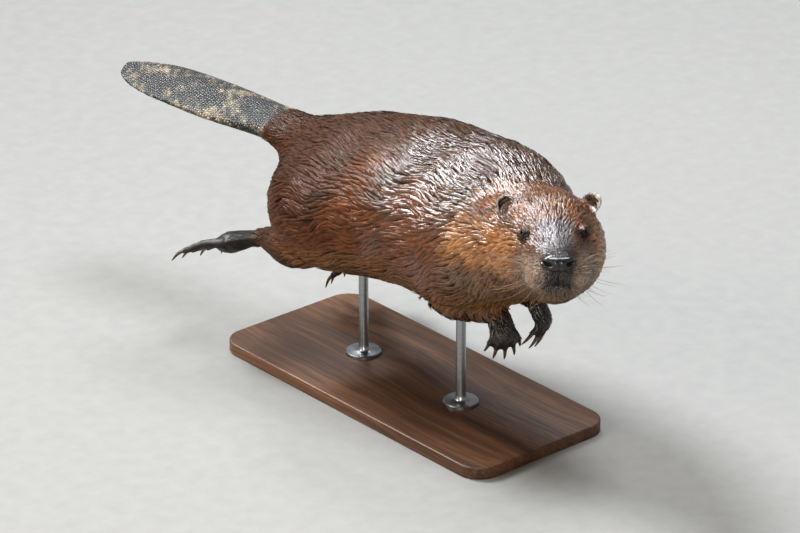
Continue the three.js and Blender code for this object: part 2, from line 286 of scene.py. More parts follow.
def eye_axes(side):
    """Outwards from the eyeball, towards the nose, and up over the lid."""
    out = unit(ACROSS * 0.73 * SIGN[side] + AHEAD * 0.50 + ABOVE * 0.46)
    nose_ward = unit(AHEAD - out * (AHEAD @ out))
    return out, nose_ward, along_with(unit(np.cross(out, nose_ward)), ABOVE)


def about_eye(spots, side):
    """How far spots are from the middle of an eye along each of its three axes."""
    return [(spots - EYE[side]) @ axis for axis in eye_axes(side)]


def ear_front(side):
    """The way the hollow front of an ear faces."""
    return along_with(main_axes(f"ear_{side}")[2], AHEAD + 0.5 * ACROSS * SIGN[side])


def about_ear(spots, side, half_length, half_width):
    """How far spots are from the middle of an ear, as a share of an oval of this size."""
    long, wide, _ = main_axes(f"ear_{side}")
    rel = spots - middle(f"ear_{side}")
    return np.hypot(rel @ long / half_length, rel @ wide / half_width)


# ---- the skin

# kinds of flesh: how deep the skin lies under the tips of the coat, and how long the hair is, in mm
COAT = dict(
    head=(3.4, 15), neck=(5.6, 26), trunk=(6.0, 31), tail_base=(4.4, 18), tail_blade=(0.8, 0),
    ear=(1.3, 8), foreleg=(3.6, 15), hindleg=(4.0, 18), forepaw=(1.0, 6.5), hindfoot=(0.35, 5))
KINDS = list(COAT)
COAT_DEPTH, COAT_LENGTH = (np.array(column) * MM for column in zip(*COAT.values()))
FLESH = KINDS[:5] + [f"{part}_{side}" for part in KINDS[5:] for side in SIDES]
KIND_OF_FLESH = np.array([KINDS.index(node.replace("_right", "").replace("_left", "")) for node in FLESH])
FILLERS = ["nose", "eye_right", "eye_left"]   # they fill their own sockets in the head's solid
SKIN_GRAIN = 2.5 * MM        # the skin's own mesh
SEAM_CLOSER = 0.45 * MM      # each flesh copy swells by this, so that the cuts between them close
# a toe's radius, and its half length and place as shares of its claw's length
TOE_RADIUS, TOE_SHARE, TOE_ROOT = 5 * MM, 0.46, 0.10
EYE_RADIUS, LID_RADIUS = 8 * MM, 9.1 * MM
EYE_WIDE, EYE_HIGH, EYE_LOW = 7.7 * MM, 3.2 * MM, 3.0 * MM   # the opening between the lids
EYE_SHIFT = 0.9 * MM         # how far back from the eye's axis the opening's middle lies
RIM_RADIUS = 0.65 * MM


def flesh_shell():
    """One closed skin over all the flesh nodes, and the solid surface that it came from."""
    copies, spots, faces, owners = [], [], [], []
    for number, name in enumerate(FLESH + FILLERS):
        copy = cad_copy(name)
        first = sum(len(s) for s in spots)
        spots.append(mesh_points(copy.data))
        faces += [tuple(first + v for v in face.vertices) for face in copy.data.polygons]
        owners += [number if name in FLESH else FLESH.index("head")] * len(copy.data.polygons)
        swell(copy.data, SEAM_CLOSER)
        copies.append(copy)
    skin = joined("skin", *copies, *toe_sleeves())
    apply_modifier(skin, "REMESH", mode="VOXEL", voxel_size=SKIN_GRAIN, adaptivity=0.0)
    surface = BVHTree.FromPolygons([tuple(s) for s in np.concatenate(spots)], faces)
    return skin, surface, np.array(owners)


def toe_sleeves():
    """The fleshy toes of the forepaws, round the roots of their claws."""
    toes = []
    for side in SIDES:
        for k in DIGITS:
            claw = mesh_points(NODES[f"claw_forepaw_{side}_{k}"].data)
            centre = claw.mean(0)
            run = along_with(main_axes(f"claw_forepaw_{side}_{k}")[0], centre - middle(f"forepaw_{side}"))
            reach = (claw - centre) @ run
            length = reach.max() - reach.min()
            toe = primitive("toe", bpy.ops.mesh.primitive_uv_sphere_add, segments=20, ring_count=14,
                            radius=1.0, location=centre + run * (reach.min() + TOE_ROOT * length))
            toe.scale = (TOE_RADIUS, TOE_RADIUS, TOE_SHARE * length)
            toe.rotation_euler = Vector(run).to_track_quat("Z", "Y").to_euler()
            apply_place(toe)
            toes.append(toe)
    return toes


def flesh_owner(spots, surface, owners):
    """The number in FLESH of the solid nearest to each spot."""
    return owners[np.array([surface.find_nearest(spot)[2] for spot in spots])]


def kind_weights(owner, edges, rounds):
    """How much of each kind of flesh a skin point is, blended where two kinds meet."""
    return relax(np.eye(len(KINDS))[KIND_OF_FLESH[owner]], edges, rounds)


def share_of(weights, *kinds):
    return weights[:, [KINDS.index(kind) for kind in kinds]].sum(1)


def lid_edge(along, over):
    """How far the edge of the opening is from its middle, on the way to each spot."""
    turn = np.arctan2(over, along)
    tall = np.where(np.sin(turn) > 0, EYE_HIGH, EYE_LOW)
    return 1 / np.sqrt((np.cos(turn) / EYE_WIDE) ** 2 + (np.sin(turn) / tall) ** 2)


def set_lids(spots, side):
    """Raises the skin round an eyeball into two lids, and sinks it behind the opening."""
    height, along, over = about_eye(spots, side)
    off_axis = np.hypot(along, over)
    edge = lid_edge(along + EYE_SHIFT, over)
    lid = np.sqrt(np.maximum(LID_RADIUS ** 2 - off_axis ** 2, 0))
    blend = 0.9 * MM
    raised = blend * np.logaddexp(height / blend, lid / blend)
    crease = 0.7 * MM * ridge(off_axis - edge - 3.4 * MM, 0.8 * MM)
    raised = raised - crease * smooth(over, 0, 3 * MM)
    behind = np.sqrt(np.maximum(EYE_RADIUS ** 2 - off_axis ** 2, 0)) - 1.6 * MM
    wanted = np.where(off_axis < edge, behind, raised)
    near = (off_axis < 17 * MM) & (height > -13 * MM)
    fade = smooth(off_axis, 17 * MM, 12 * MM)
    return spots + eye_axes(side)[0] * (np.where(near, (wanted - height) * fade, 0))[:, None]


def lid_rims():
    """The bare wet edges of the lids: a thin closed ring round the opening of each eye."""
    turns, ring = 44, 7
    turn = np.linspace(0, TURN, turns, endpoint=False)
    reach = lid_edge(np.cos(turn), np.sin(turn)) + 0.25 * MM
    along = reach * np.cos(turn) * (1 + 0.06 * np.abs(np.cos(turn)) ** 8) - EYE_SHIFT
    over = reach * np.sin(turn)
    height = np.sqrt(np.maximum((EYE_RADIUS + 0.75 * MM) ** 2 - along ** 2 - over ** 2, 0))
    points, faces = [], []
    for side in SIDES:
        track = EYE[side] + np.stack([height, along, over], 1) @ np.array(eye_axes(side))
        away = unit(track - EYE[side])
        cross = np.cross(unit(np.roll(track, -1, 0) - np.roll(track, 1, 0)), away)
        first = len(points) * turns
        for k in range(ring):
            angle = TURN * k / ring
            points.append(track + (away * math.cos(angle) + cross * math.sin(angle)) * RIM_RADIUS)
            here, beyond = first + k * turns, first + (k + 1) % ring * turns
            faces += [(here + t, here + (t + 1) % turns, beyond + (t + 1) % turns, beyond + t)
                      for t in range(turns)]
    return np.concatenate(points), faces


def face_forms(spots, normals):
    """Gives the plain head its bridge, brows, lips, whisker pads and cheek folds, in mm out or in."""
    x, y, z = to_head(spots).T
    side = np.abs(x)
    half = np.stack([side, y, z], -1)
    bridge = 1.3 * ridge(side, 4.5) * smooth(y, -96, -80) * smooth(y, -20, -45) * smooth(z, -2, 10)
    brow = 1.2 * hill(half, (27, -52, 36), (9, 11, 6))
    lip = 2.6 * ridge(z + 31 + 0.011 * side ** 2, 1.9) * smooth(side, 31, 17) * smooth(y, -48, -62)
    groove = ridge(side, 1.3) * smooth(y, -82, -92) * smooth(z, -34, -30) * smooth(z, -2, -8)
    pads = hill(half, (19, -92, -20), (11, 12, 11))
    dots = np.cos(x * 1.35) * np.cos((z + 0.4 * y) * 1.25)
    folds = np.sin((y - 0.55 * z) * 0.42 + 0.8) * smooth(y, -20, 15) * smooth(y, 50, 25) * smooth(z, 25, 0)
    rise = bridge + brow - lip - 1.6 * groove + 1.1 * pads + 0.28 * dots * pads + 0.7 * folds
    return spots + normals * (rise * MM)[:, None]


def ear_forms(spots, normals, owner):
    """Hollows the front of each ear into a shallow cup with a rolled rim."""
    moved = spots.copy()
    for side in SIDES:
        front = ear_front(side)
        across = about_ear(spots, side, 13 * MM, 10.5 * MM)
        depth = 2.1 * MM * smooth(across, 0.95, 0.30) - 1.1 * MM * ridge(across - 1.10, 0.18)
        facing = smooth(normals @ front, 0.1, 0.7) * (owner == FLESH.index(f"ear_{side}"))
        moved -= front * (depth * facing)[:, None]
    return moved


def refine_face(skin):
    """Splits the skin finer over the face and ears, where lids, lips and nose need it."""
    spots = read(skin.data.polygons, "center", 3)
    local = to_head(spots)
    chosen = (local[:, 1] < -28) & (local[:, 2] > -62)
    for side in SIDES:
        chosen |= distance(spots, middle(f"ear_{side}")) < 27 * MM
        chosen |= distance(spots, EYE[side]) < 22 * MM
    in_edit(skin, lambda: bpy.ops.mesh.subdivide(number_cuts=1), chosen=chosen)


def thin_out(skin, surface, owners):
    """Fewer faces where the coat hides the skin."""
    owner = flesh_owner(mesh_points(skin.data), surface, owners)
    weights = kind_weights(owner, mesh_edges(skin.data), 3)
    hidden = share_of(weights, "neck", "trunk", "tail_base", "foreleg", "hindleg")
    group = skin.vertex_groups.new(name="under_coat")
    for level in (0.25, 0.5, 0.75, 1.0):
        group.add(np.nonzero(hidden > level - 0.125)[0].tolist(), level, "REPLACE")
    apply_modifier(skin, "DECIMATE", ratio=0.50, vertex_group="under_coat", vertex_group_factor=10.0)
    skin.vertex_groups.clear()


def coat_depth(spots, weights):
    """How deep the skin lies under the tips of the coat, less along the muzzle."""
    muzzle = smooth(to_head(spots)[:, 1], -45, -88)
    return weights @ COAT_DEPTH * (1 - share_of(weights, "head") * muzzle * 0.72)


def make_skin():
    skin, surface, owners = flesh_shell()
    mesh = skin.data
    edges, spots = mesh_edges(mesh), mesh_points(mesh)
    weights = kind_weights(flesh_owner(spots, surface, owners), edges, 8)
    even, crisp = relax(spots, edges, 26, 0.6, True), relax(spots, edges, 9, 0.55, True)
    spots = mixed(even, crisp, smooth(share_of(weights, "ear", "forepaw", "hindfoot"), 0.15, 0.6))
    move_points(mesh, spots)
    inwards = coat_depth(spots, weights) + SEAM_CLOSER
    move_points(mesh, spots - point_normals(mesh) * inwards[:, None])
    refine_face(skin)
    thin_out(skin, surface, owners)
    mesh = skin.data
    spots = mesh_points(mesh)
    owner = flesh_owner(spots, surface, owners)
    spots = face_forms(spots, point_normals(mesh))
    for side in SIDES:
        spots = set_lids(spots, side)
    move_points(mesh, spots)
    move_points(mesh, ear_forms(spots, point_normals(mesh), owner))
    in_edit(skin, bpy.ops.mesh.quads_convert_to_tris,
            lambda: bpy.ops.uv.smart_project(angle_limit=math.radians(70), island_margin=0.002))
    mesh.uv_layers[0].name = "skin_map"
    mesh.shade_smooth()
    return skin, surface, owners


# ---- what the coat grows from

def linear(code):
    """An sRGB hex colour as the linear values that a shader works with."""
    parts = np.array([int(code[k:k + 2], 16) for k in (1, 3, 5)]) / 255
    return np.where(parts <= 0.04045, parts / 12.92, ((parts + 0.055) / 1.055) ** 2.4)


COLOURS = {name: linear(code) for name, code in dict(
    back="#523520", flank="#774522", rump="#4b2b14", belly="#8a6442", nape="#4c3421", crown="#704a30",
    tawny="#95591f", cheek="#ba8351", muzzle="#3a2e28", whisker_pad_glint="#c6ad9a", bridge="#6f686a",
    chin="#84644a", ear="#866a52", ear_rim="#f2e9de", leg="#523722", paw="#3a2a20", tail="#22201c",
    tail_worn="#a09075", sole="#2b2420", web="#3b312b", lid="#1a120d", whisker="#9a8873").items()}


def layered(colour, *layers):
    """Colours laid one over another, each a name, or a number to darken by, with its share."""
    for layer, share in layers:
        colour = mixed(colour, COLOURS[layer] if isinstance(layer, str) else colour * layer, share)
    return colour


def node_heading(node):
    """Which way the coat lies on a part, from root to tip."""
    name, _, side = node.rpartition("_")
    if name == "ear":
        return along_with(main_axes(node)[0], ABOVE)
    if name in ("foreleg", "hindleg"):
        paw = {"foreleg": "forepaw", "hindleg": "hindfoot"}[name]
        return unit(middle(f"{paw}_{side}") - middle(node))
    if name in ("forepaw", "hindfoot"):
        return unit(np.mean([middle(f"claw_{node}_{k}") for k in DIGITS], axis=0) - middle(node))
    return {"tail_base": TAIL_LONG, "tail_blade": TAIL_LONG, "trunk": BACK,
            "neck": unit(-0.45 * AHEAD + np.array([0, 0.6, -0.06]))}.get(node, -AHEAD)


def lie_of_coat(spots, normals, edges, owner, weights):
    """The direction in which the coat lies, along the skin at each of its points."""
    x, y, z = to_head(spots).T
    # on the head it runs out from the nose, and down a little over the cheeks
    outward = unit(spots - (NOSE - AHEAD * 12 * MM))
    cheek, muzzle = smooth(np.abs(x), 25, 50) * smooth(z, 20, -15), smooth(-y, 60, 100)
    radial = unit(outward - 0.35 * cheek[:, None] * ABOVE + 0.25 * AHEAD * muzzle[:, None])
    heading = np.array([node_heading(name) for name in FLESH])[owner]
    heading = np.where((owner == FLESH.index("head"))[:, None], radial, heading)
    # on the flanks it hangs
    flank = share_of(weights, "neck", "trunk")
    hang = 0.42 * flank * (1 - np.abs(normals[:, 2])) * smooth(normals[:, 2], 0.95, 0.2)
    heading = flat_on(relax(heading - hang[:, None] * UP, edges, 14, 0.7), normals)
    swirl = 0.34 * waves(spots, 0.085, 3) + 0.20 * waves(spots, 0.035, 4)
    swirl = swirl * (1 - 0.75 * share_of(weights, "head"))
    return unit(heading + np.cross(normals, heading) * swirl[:, None])


def eye_shade(spots, side):
    """Dark skin and painted shade round an eye, drawn out towards its two corners."""
    height, along, over = about_eye(spots, side)
    off = np.hypot((along - 1.5 * MM) / 16, over / 7.0) / MM
    return smooth(off, 1.0, 0.62) * (height > -6 * MM)


def ear_glint_share(spots, normals):
    """How much of the pale rim of an ear each point is: a painted glint along the rim's front."""
    share = np.zeros(len(spots))
    for side in SIDES:
        across = about_ear(spots, side, 15 * MM, 12 * MM)
        front = smooth(normals @ ear_front(side), -0.75, 0.0)
        share = np.maximum(share, smooth(across, 0.56, 0.90) * (across < 2) * front)
    return share


def markings(spots, normals, weights):
    """The animal's colours at each point, the same for skin and coat, with some painted shade and glints
    among them.
    """
    x, y, z = to_head(spots).T
    side, up = np.abs(x), normals[:, 2]
    drift = waves(spots, 0.11, 11) * 0.5 + waves(spots, 0.045, 12) * 0.3
    body = layered(
        COLOURS["flank"],
        ("back", smooth(up + 0.25 * drift, 0.25, 0.85)),
        ("belly", smooth(-up + 0.2 * drift, 0.15, 0.75)),
        ("rump", smooth(spots[:, 1] + 0.02 * drift, -0.04, 0.06) * 0.8 * smooth(up, -0.5, 0.2)),
        (0.72, smooth(drift, 0.1, 0.9)))
    neck = layered(body, ("nape", 0.55 * smooth(up, 0.1, 0.7)))
    pad = smooth(y, -50, -84) * smooth(side, 12, 26) * smooth(side, 58, 38) * smooth(z, 16, -2)
    # the dark lip under the nose is partly the lip's own colour and partly painted shade under the nose
    lip_dark_and_shade = smooth(y, -76, -96) * smooth(z, 12, 0) * smooth(side, 25, 12) * smooth(z, -50, -26)
    behind_nose = np.sqrt((x / 21) ** 2 + ((y + 102) / 12) ** 2 + ((z - 2.5) / 11) ** 2)
    face = layered(
        COLOURS["crown"],
        ("cheek", smooth(side, 22, 48) * smooth(z, 34, 4) * smooth(y, -70, -30)),
        ("tawny", smooth(waves(spots, 0.026, 21), 0.0, 0.8) * smooth(y, -62, -30) * 0.7),
        # the grey of the nose bridge is partly its own colour and partly a painted sheen on the wet hair
        ("bridge", smooth(y, -34, -70) * smooth(side, 34, 10) * 0.9),
        ("chin", smooth(z, -28, -46)),
        # the pale whisker pads are partly their own tone and partly a painted glint on the wet hair
        ("whisker_pad_glint", 0.8 * (pad * smooth(z, -50, -30))),
        ("muzzle", lip_dark_and_shade * (0.85 + 0.15 * waves(spots, 0.012, 15))),
        # dark skin round the eyes, with painted shade in the eye sockets
        ("lid", np.maximum(*[eye_shade(spots, one) for one in SIDES]) * 0.8),
        ("lid", smooth(behind_nose, 1.0, 0.85)),
        (0.75, smooth(waves(spots, 0.03, 14), 0.2, 1.2)))
    # the pale patches on the tail are partly worn scales and partly painted glints
    wear_and_glint = waves(spots, 0.070, 17) * 0.4 + waves(spots, 0.024, 18) * 0.35 + waves(spots, 0.009, 20) * 0.35
    tail = layered(COLOURS["tail"], ("tail_worn", smooth(wear_and_glint, -0.2, 1.2) * 0.85))
    # the ear's brown is partly painted lighter against the shade in its cup, and its pale rim is a painted
    # glint
    ear = layered(COLOURS["ear"], ("ear_rim", ear_glint_share(spots, normals)))
    foot = layered(COLOURS["sole"], ("web", smooth(waves(spots, 0.02, 19), -0.2, 1.0)))
    leg, paw = COLOURS["leg"], COLOURS["paw"]
    parts = [face, neck, body, body, tail, ear, leg, leg, paw, foot]
    return sum(weights[:, k:k + 1] * part for k, part in enumerate(parts))


def wet_shine(spots, normals):
    """How brightly the wet coat shines: most on the shoulders and head, little on the soaked rump."""
    ahead = smooth(spots[:, 1] + 0.03 * waves(spots, 0.09, 23), -0.01, -0.12)
    above = smooth(normals[:, 2], -0.75, -0.15)
    patches = smooth(waves(spots, 0.05, 24), -1.5, -0.1)
    x, y, z = to_head(spots).T
    brow = smooth(np.abs(x), 40, 18) * smooth(y, 0, -30) * smooth(z, 0, 15)
    ears = np.maximum(*[smooth(distance(spots, middle(f"ear_{side}")), 26 * MM, 16 * MM) for side in SIDES])
    return np.clip(0.06 + 0.94 * ahead * above * (0.60 + 0.40 * patches) + 0.2 * brow + 0.7 * ears, 0, 1)


def coat_length(spots, owner, weights):
    """The length of the hair at each point; none on tail blade, soles, nose pad and lids."""
    x, y, z = to_head(spots).T
    head, blade = share_of(weights, "head"), share_of(weights, "tail_blade")
    length = weights @ COAT_LENGTH
    length = length * (1 - head + head * (0.26 + 0.74 * smooth(y, -92, -5)))
    for side in SIDES:
        height, along, over = about_eye(spots, side)
        along = along + EYE_SHIFT
        bare = (np.hypot(along, over) < lid_edge(along, over) + 1.5 * MM) & (height > -4 * MM)
        near = distance(spots, EYE[side])
        length = np.where(bare, 0, length * (0.28 + 0.72 * smooth(near, 9 * MM, 24 * MM)))
    pad = np.sqrt((x / 24.0) ** 2 + ((y + 102) / 13.5) ** 2 + ((z - 2.5) / 13.0) ** 2)
    length = np.where(pad < 0.90, 0, length * (0.55 + 0.45 * smooth(pad, 0.9, 1.5)))
    off_ears = share_of(weights, "ear") < 0.5
    for side in SIDES:
        near = distance(spots, middle(f"ear_{side}"))
        length = np.where(off_ears, length * (0.22 + 0.78 * smooth(near, 14 * MM, 38 * MM)), length)
    for side in SIDES:
        for foot, bare_from, full_at in (("hindfoot", -12, -46), ("forepaw", 24, 8)):
            node = f"{foot}_{side}"
            ahead = (spots - middle(node)) @ node_heading(node)
            fade = smooth(ahead, bare_from * MM, full_at * MM)
            length = np.where(owner == FLESH.index(node), length * fade, length)
    return np.maximum(length, 0) * (1 - 0.6 * blade) * (blade < 0.55)


def grown_skin(skin, surface, owners):
    """Everything about the skin that the coat needs, as arrays over its points and triangles."""
    mesh = skin.data
    spots, normals, edges = mesh_points(mesh), point_normals(mesh), mesh_edges(mesh)
    owner = flesh_owner(spots, surface, owners)
    weights = kind_weights(owner, edges, 10)
    triangles = read(mesh.loops, "vertex_index", 1, np.int64).reshape(-1, 3)
    return dict(
        spots=spots, normals=normals, owner=owner, weights=weights, edges=edges, triangles=triangles,
        map=read(mesh.uv_layers[0].uv, "vector", 2).reshape(-1, 3, 2),
        lie=lie_of_coat(spots, normals, edges, owner, weights),
        colour=markings(spots, normals, weights), wet=wet_shine(spots, normals),
        length=coat_length(spots, owner, weights), depth=coat_depth(spots, weights),
        tree=BVHTree.FromPolygons([tuple(p) for p in spots], triangles.tolist()))


# ---- the coat

PATCH = 0.003            # each tuft's share of the bake map
STEPS = 6                # points along a lock's guide
LIFT = [-0.10, 0.46, 0.72, 0.88, 0.96, 0.92]   # how high the guide stands at each, of the coat's depth
TRIED_ROOTS = 120000
STRAY = 0.17             # how far a lock turns off the lie of its neighbours
# gap between locks, which stand closer where the hair is short
HAIR_LENGTHS, LOCK_GAPS = np.array([2, 5, 12, 22, 34]) * MM, np.array([2.0, 2.5, 3.5, 4.3, 4.7]) * MM
# stations along a strand, and its width at each
LONG_HAIR = ((0.0, 0.85), (0.30, 1.0), (0.68, 0.70), (1.0, 0.0))
SHORT_HAIR = ((0.0, 0.90), (0.50, 1.0), (1.0, 0.0))
LOCK_BODY = ((0.0, 0.70), (0.30, 1.0), (0.68, 0.66), (1.0, 0.0))
LOCK_ROUND = 0.70        # how far hairs at a lock's sides turn away, so that it shades as one round strand
HAIR_ROUND = 0.55        # and how round each hair shades
BACK_FROM = 0.335        # the height at which the trunk is split into back and belly


def scatter(field, gap):
    """Random spots on the skin, denser where the gap between locks is small."""
    picks = np.random.default_rng(5)
    tri = field["triangles"]
    a, b, c = (field["spots"][tri[:, k]] for k in range(3))
    area = np.linalg.norm(np.cross(b - a, c - a), axis=1) / 2
    weight = np.where(field["length"][tri].min(1) > 1.2 * MM, area / gap[tri].mean(1) ** 2, 0)
    chosen = picks.choice(len(tri), TRIED_ROOTS, p=weight / weight.sum())
    u, v = picks.random(TRIED_ROOTS), picks.random(TRIED_ROOTS)
    flip = u + v > 1
    u, v = np.where(flip, 1 - u, u), np.where(flip, 1 - v, v)
    return chosen, np.stack([1 - u - v, u, v], 1)


def thin_by_gap(spots, gap):
    """Keeps spots that have no kept neighbour nearer than their gap."""
    tree = point_tree(spots)
    gone = np.zeros(len(spots), bool)
    kept = []
    for k in range(len(spots)):
        if not gone[k]:
            kept.append(k)
            for _, other, _ in tree.find_range(spots[k], gap[k]):
                gone[other] = True
    return np.array(kept)


def point_tree(spots):
    tree = KDTree(len(spots))
    for k, spot in enumerate(spots):
        tree.insert(spot, k)
    tree.balance()
    return tree


def nearest(tree, spots):
    """The nearest places on a surface, with its normals and the numbers of its faces."""
    places, normals, faces, _ = zip(*[tree.find_nearest(spot) for spot in spots])
    return np.array(places), np.array(normals), np.array(faces)


def guides(field, at, length, rise, stray):
    """A path for each lock: it creeps along the skin with the lie of the coat and lies down again."""
    tri = field["triangles"]
    spot, normal, lie = at("spots"), unit(at("normals")), unit(at("lie"))
    lie = unit(lie + np.cross(normal, lie) * stray[:, None])
    path, ups = [spot + normal * (rise * LIFT[0])[:, None]], [normal]
    for lift in LIFT[1:]:
        spot, _, face = nearest(field["tree"], spot + lie * (length / (STEPS - 1))[:, None])
        normal = unit(field["normals"][tri[face]].mean(1))
        lie = flat_on(unit(0.5 * lie + 0.5 * field["lie"][tri[face]].mean(1)), normal)
        path.append(spot + normal * (rise * lift)[:, None])
        ups.append(normal)
    return np.stack(path, 1), np.stack(ups, 1)


def partway(path, t):
    """Points at shares t of the way along each path."""
    place = np.clip(t, 0, 1) * (STEPS - 1)
    low = np.minimum(place.astype(int), STEPS - 2)
    part = (place - low)[..., None]
    rows = np.arange(len(path))[:, None]
    return path[rows, low] * (1 - part) + path[rows, low + 1] * part


def make_locks(field):
    """The roots, paths, lengths and colours of all the locks of the coat."""
    picks = np.random.default_rng(77)
    field["gap"] = np.interp(field["length"], HAIR_LENGTHS, LOCK_GAPS)
    chosen, share = scatter(field, field["gap"])

    def at(name):
        values = field[name][field["triangles"][chosen]]
        return (values * (share if values.ndim == 2 else share[:, :, None])).sum(1)

    kept = thin_by_gap(at("spots"), at("gap"))
    chosen, share = chosen[kept], share[kept]
    roots, count = at("spots"), len(kept)
    length = at("length") * picks.uniform(0.85, 1.15, count)
    rise = at("depth") * picks.uniform(0.55, 1.05, count)
    path, ups = guides(field, at, length, rise, picks.normal(0, STRAY, count))
    gather(path, roots, length, picks)
    return dict(
        path=path, ups=ups, length=length, root=roots, gap=at("gap"), colour=at("colour"), wet=at("wet"),
        uv=(field["map"][chosen] * share[:, :, None]).sum(1),
        owner=field["owner"][field["triangles"][chosen, 0]])


def gather(path, roots, length, picks):
    """Draws the tips of neighbouring locks together into larger wet points."""
    order = picks.permutation(len(roots))
    heads = order[thin_by_gap(roots[order], np.minimum(length[order] * 0.45, 10 * MM))]
    tree = point_tree(roots[heads])
    leader = heads[np.array([tree.find(spot)[1] for spot in roots])]
    pull = np.linspace(0, 1, STEPS) ** 1.4 * 0.52
    path += (path[leader] - path) * pull[None, :, None] * (leader != np.arange(len(roots)))[:, None, None]


def strand_lines(locks, lock, picks, hair, spread_out, loose):
    """Centre line, up and across of strands that start spread over a lock and close to its point."""
    count, gap = len(lock), locks["gap"][lock]
    t = np.array(hair)[None, :, 0] * picks.uniform(0.72, 1.0, count)[:, None]
    centre, up = partway(locks["path"][lock], t), unit(partway(locks["ups"][lock], t))
    ahead = unit(np.gradient(centre, axis=1))
    across = unit(np.cross(ahead, up))
    angle, off = picks.uniform(0, TURN, count), np.sqrt(picks.random(count))
    reach, lean = off * gap * spread_out, off * np.cos(angle)
    shut = 1 - 0.80 * t ** 1.15
    centre = centre + across * (np.cos(angle) * reach)[:, None, None] * shut[:, :, None]
    centre = centre + ahead * (np.sin(angle) * reach * 1.2)[:, None, None]
    centre = centre + up * (picks.uniform(-0.06, 0.10, count) * gap * loose)[:, None, None] * t[:, :, None]
    return centre, ahead, up, across, lean


def strand_colours(locks, lock, picks, hair, per_station, spread_of_tone):
    """Dark at the root, partly painted shade deep in the coat, and lighter at the tip, each strand a little
    unlike the next.
    """
    shade = picks.uniform(1 - spread_of_tone, 1 + spread_of_tone, len(lock))
    places = [t for t, _ in hair[:-1]]
    tone = np.concatenate([np.repeat(np.interp(places, [0, 0.4, 1], [0.36, 0.92, 1.25]), per_station), [1.3]])
    return locks["colour"][lock][:, None, :] * (shade[:, None] * tone[None, :])[:, :, None]


def strand_patches(locks, lock, hair, sides):
    """Each strand's small patch of the bake map, at its root's place."""
    side = np.concatenate([np.tile(sides, len(hair) - 1), [0]])
    run = np.concatenate([np.repeat([t - 0.5 for t, _ in hair[:-1]], len(sides)), [0.5]])
    return locks["uv"][lock][:, None, :] + PATCH * np.stack([side, run], 1)[None]


def lengthwise(*sides, tip):
    """Rows of points in strand order: the two or three points across each station, then the tip."""
    last = tip.shape[1] - 1
    rungs = [np.stack([side[:, k] for side in sides], 1) for k in range(last)]
    return np.concatenate(rungs + [tip[:, last:]], 1)


def strip_faces(stations, wide):
    """The faces of a strand with this many points across each station, closed by its tip."""
    faces = []
    for k in range(stations - 1):
        for a in range(wide * k, wide * k + wide - 1):
            ahead = (a + wide + 1, a + wide) if k < stations - 2 else (wide * (stations - 1),)
            faces.append((a, a + 1, *ahead))
    return faces


def fine_strands(locks, mine, strands, hair, picks):
    """Thin flat hairs: most of what the eye sees."""
    lock = np.repeat(mine, strands)
    centre, ahead, up, across, lean = strand_lines(locks, lock, picks, hair, 0.86, 1.0)
    roll = picks.uniform(-0.4, 0.4, len(lock))[:, None, None]
    nod = picks.uniform(-0.16, 0.16, len(lock))[:, None, None]
    flat = across * np.cos(roll) + up * np.sin(roll)
    facing = up * np.cos(roll) - across * np.sin(roll)
    facing = facing + across * (lean * LOCK_ROUND)[:, None, None] + ahead * nod
    width = (0.20 * MM + 0.0105 * locks["length"][lock]) * picks.uniform(0.75, 1.25, len(lock))
    half = (width[:, None] * np.array(hair)[None, :, 1])[:, :, None]
    rows = lengthwise(centre - flat * half, centre + flat * half, tip=centre)
    shading = lengthwise(facing - flat * HAIR_ROUND, facing + flat * HAIR_ROUND, tip=facing)
    return (rows, strip_faces(len(hair), 2), strand_colours(locks, lock, picks, hair, 2, 0.24),
            strand_patches(locks, lock, hair, [-0.5, 0.5]), unit(shading), locks["wet"][lock])


def lock_cores(locks, mine, picks):
    """The roof-shaped body of each wet lock, under its fine hairs."""
    hair = LOCK_BODY
    centre, _, up, across, _ = strand_lines(locks, mine, picks, hair, 0.10, 0.0)
    body = 0.40 * locks["gap"][mine] * np.interp(locks["length"][mine], [3 * MM, 15 * MM], [0.45, 1.0])
    half = (body[:, None] * np.array(hair)[None, :, 1])[:, :, None]
    centre = centre - up * half * 0.35
    rows = lengthwise(centre - across * half, centre + up * half * 0.50, centre + across * half, tip=centre)
    shading = lengthwise(up - across, up, up + across, tip=up)
    return (rows, strip_faces(len(hair), 3), strand_colours(locks, mine, picks, hair, 3, 0.12) * 0.72,
            strand_patches(locks, mine, hair, [-0.5, 0, 0.5]), unit(shading), locks["wet"][mine] * 0.5)


